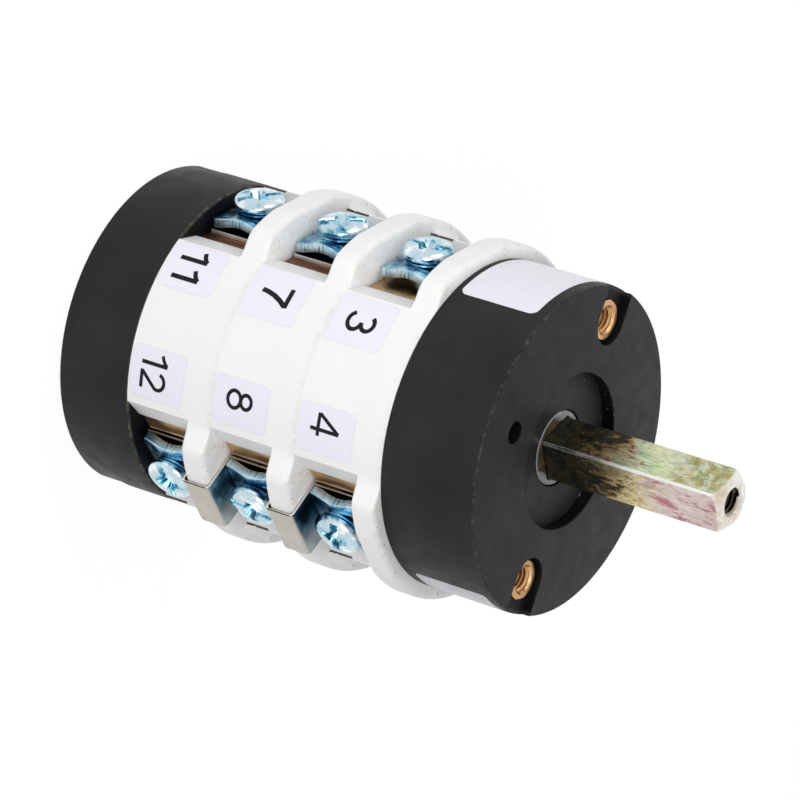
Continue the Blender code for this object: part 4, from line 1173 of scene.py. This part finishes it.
def coil(name, radius, wire, turns, start, end):
    """Round-wire coil along Y with closed end turns."""
    steps, around = 24 * turns, 8
    sign = 1 if end > start else -1
    rings = []
    for i in range(steps + 1):
        turn = turns * i / steps
        share = min(1.0, max(0.0, (turn - 1) / (turns - 2)))
        closing = min(turn, 1.0) - 1.0 + max(turn - turns + 1, 0.0)
        radial = Vector((cos(2 * pi * turn), 0, sin(2 * pi * turn)))
        middle = radial * radius + Vector((0, start + (end - start) * share + 2.1 * wire * closing * sign, 0))
        angles = [2 * pi * b / around for b in range(around)]
        rings.append([middle + wire * (cos(angle) * radial + Vector((0, sin(angle), 0))) for angle in angles])
    return smoothed(skin(name, rings))


def contact_springs():
    """Coiled springs in the CAD springs' places, each at one fixed length; the real ones shorten as the contact
    carriers slide outward.
    """
    wire = 0.25 * MM
    for side, sign in (("near", -1), ("far", 1)):
        for k in range(STAGES):
            name = "contact_spring_%s_%d" % (side, k + 1)
            low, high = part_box(name)
            inner, outer = sorted((low[1], high[1]), key=abs)
            from_end = 3.2 * wire * sign
            fixed, moving = outer - from_end, inner + from_end
            mesh = coil(name + "_look", (high[0] - low[0]) / 2 - wire, wire, 6, fixed, moving)
            mesh.materials.append(SPRING)
            piece = linked(name + "_look", mesh)
            z = (low[2] + high[2]) / 2
            piece.location = ((low[0] + high[0]) / 2, 0, z)
            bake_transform(piece)
            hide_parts(name)


def carried_over():
    """Better materials in the slots of the CAD nodes that stay."""
    kinds = (("cam_", PLASTIC), ("contact_carrier", PLASTIC), ("bridging_contact", CONTACT),
             ("torsion_spring", SPRING))
    for name, node in frame["nodes"].items():
        for start, material in kinds:
            if name.startswith(start):
                for slot in node.material_slots:
                    slot.link = "OBJECT"
                    slot.material = material


# Camera, lights, floor and world

CAMERA_PLACE = Vector((0.009845843, -0.790679322, 0.5297928))
CAMERA_FORWARD = Vector((-0.010412749, 0.857558309, -0.514281364))
CAMERA_UP = Vector((-0.952653389, -0.16480448, -0.255521042))
LIGHT_TARGET = Vector((0, 0, 0.055))


def look(position, forward, up):
    forward = forward.normalized()
    right = forward.cross(up).normalized()
    turn = Matrix((right, right.cross(forward), -forward)).transposed().to_4x4()
    return Matrix.Translation(position) @ turn


def camera():
    data = bpy.data.cameras.new("camera")
    data.sensor_width = 36
    data.lens = 225
    data.clip_start, data.clip_end = 0.01, 20
    shot = linked("camera", data)
    shot.matrix_world = look(CAMERA_PLACE, CAMERA_FORWARD, CAMERA_UP)
    bpy.context.scene.camera = shot


def area_light(name, position, energy):
    data = bpy.data.lights.new(name, "AREA")
    data.shape = "DISK"
    data.size = 0.5
    data.energy = energy
    lamp = linked(name, data)
    lamp.matrix_world = look(Vector(position), LIGHT_TARGET - Vector(position), Vector((0, 0, 1)))
    lamp.visible_camera = False


def world():
    """White to the camera, and to glossy and transmitted light; softer, and dimmer below, as a light."""
    made = bpy.data.worlds.new("studio")
    made.use_nodes = True
    n = Nodes(made.node_tree)
    path = n.node("LightPath").outputs
    seen = n.most(path["Is Camera Ray"], path["Is Glossy Ray"], path["Is Transmission Ray"])
    direction = n.node("SeparateXYZ", Vector=n.node("TexCoord").outputs["Generated"])
    soft = n.spread(direction.outputs["X"], 0.4, 0.85, 0.6, 0.0)
    background = n.tree.nodes["Background"]
    n.put(n.spread(seen, 0.0, 1.0, soft, 1.0), background.inputs["Strength"])
    n.put((1, 1, 1), background.inputs["Color"])
    bpy.context.scene.world = made


def floor():
    """Pale sheet that glows for the camera, so that it fades into the background but keeps its shadow."""
    builder = bmesh.new()
    bmesh.ops.create_grid(builder, x_segments=8, y_segments=8, size=3.0)
    mesh = finished("floor", builder)
    r = Recipe("floor_white")
    r.colour = (0.9, 0.9, 0.9)
    mesh.materials.append(r.finish(0.7, 0.0))
    path = r.node("LightPath").outputs
    glow = r.node("Emission", Strength=1.06)
    blend = r.node("MixShader", Fac=r.times(r.most(path["Is Camera Ray"], path["Is Glossy Ray"]), 0.86))
    r.put(r.shader.outputs[0], blend.inputs[1])
    r.put(glow.outputs[0], blend.inputs[2])
    r.put(blend.outputs[0], r.tree.nodes["Material Output"].inputs["Surface"])
    sheet = linked("floor", mesh)
    sheet.location = (0, 0, -0.2 * MM)


rear_cap()
stages()
front_housing()
shaft()
hub()
terminals()
straps()
fasteners()
stickers()
labels()
contact_springs()
carried_over()
camera()
area_light("key", (0.19, -0.63, 0.52), 2.75)
area_light("top", (-0.6, -0.28, 0.5), 1.3)
world()
floor()

bpy.context.scene.view_settings.view_transform = "Standard"
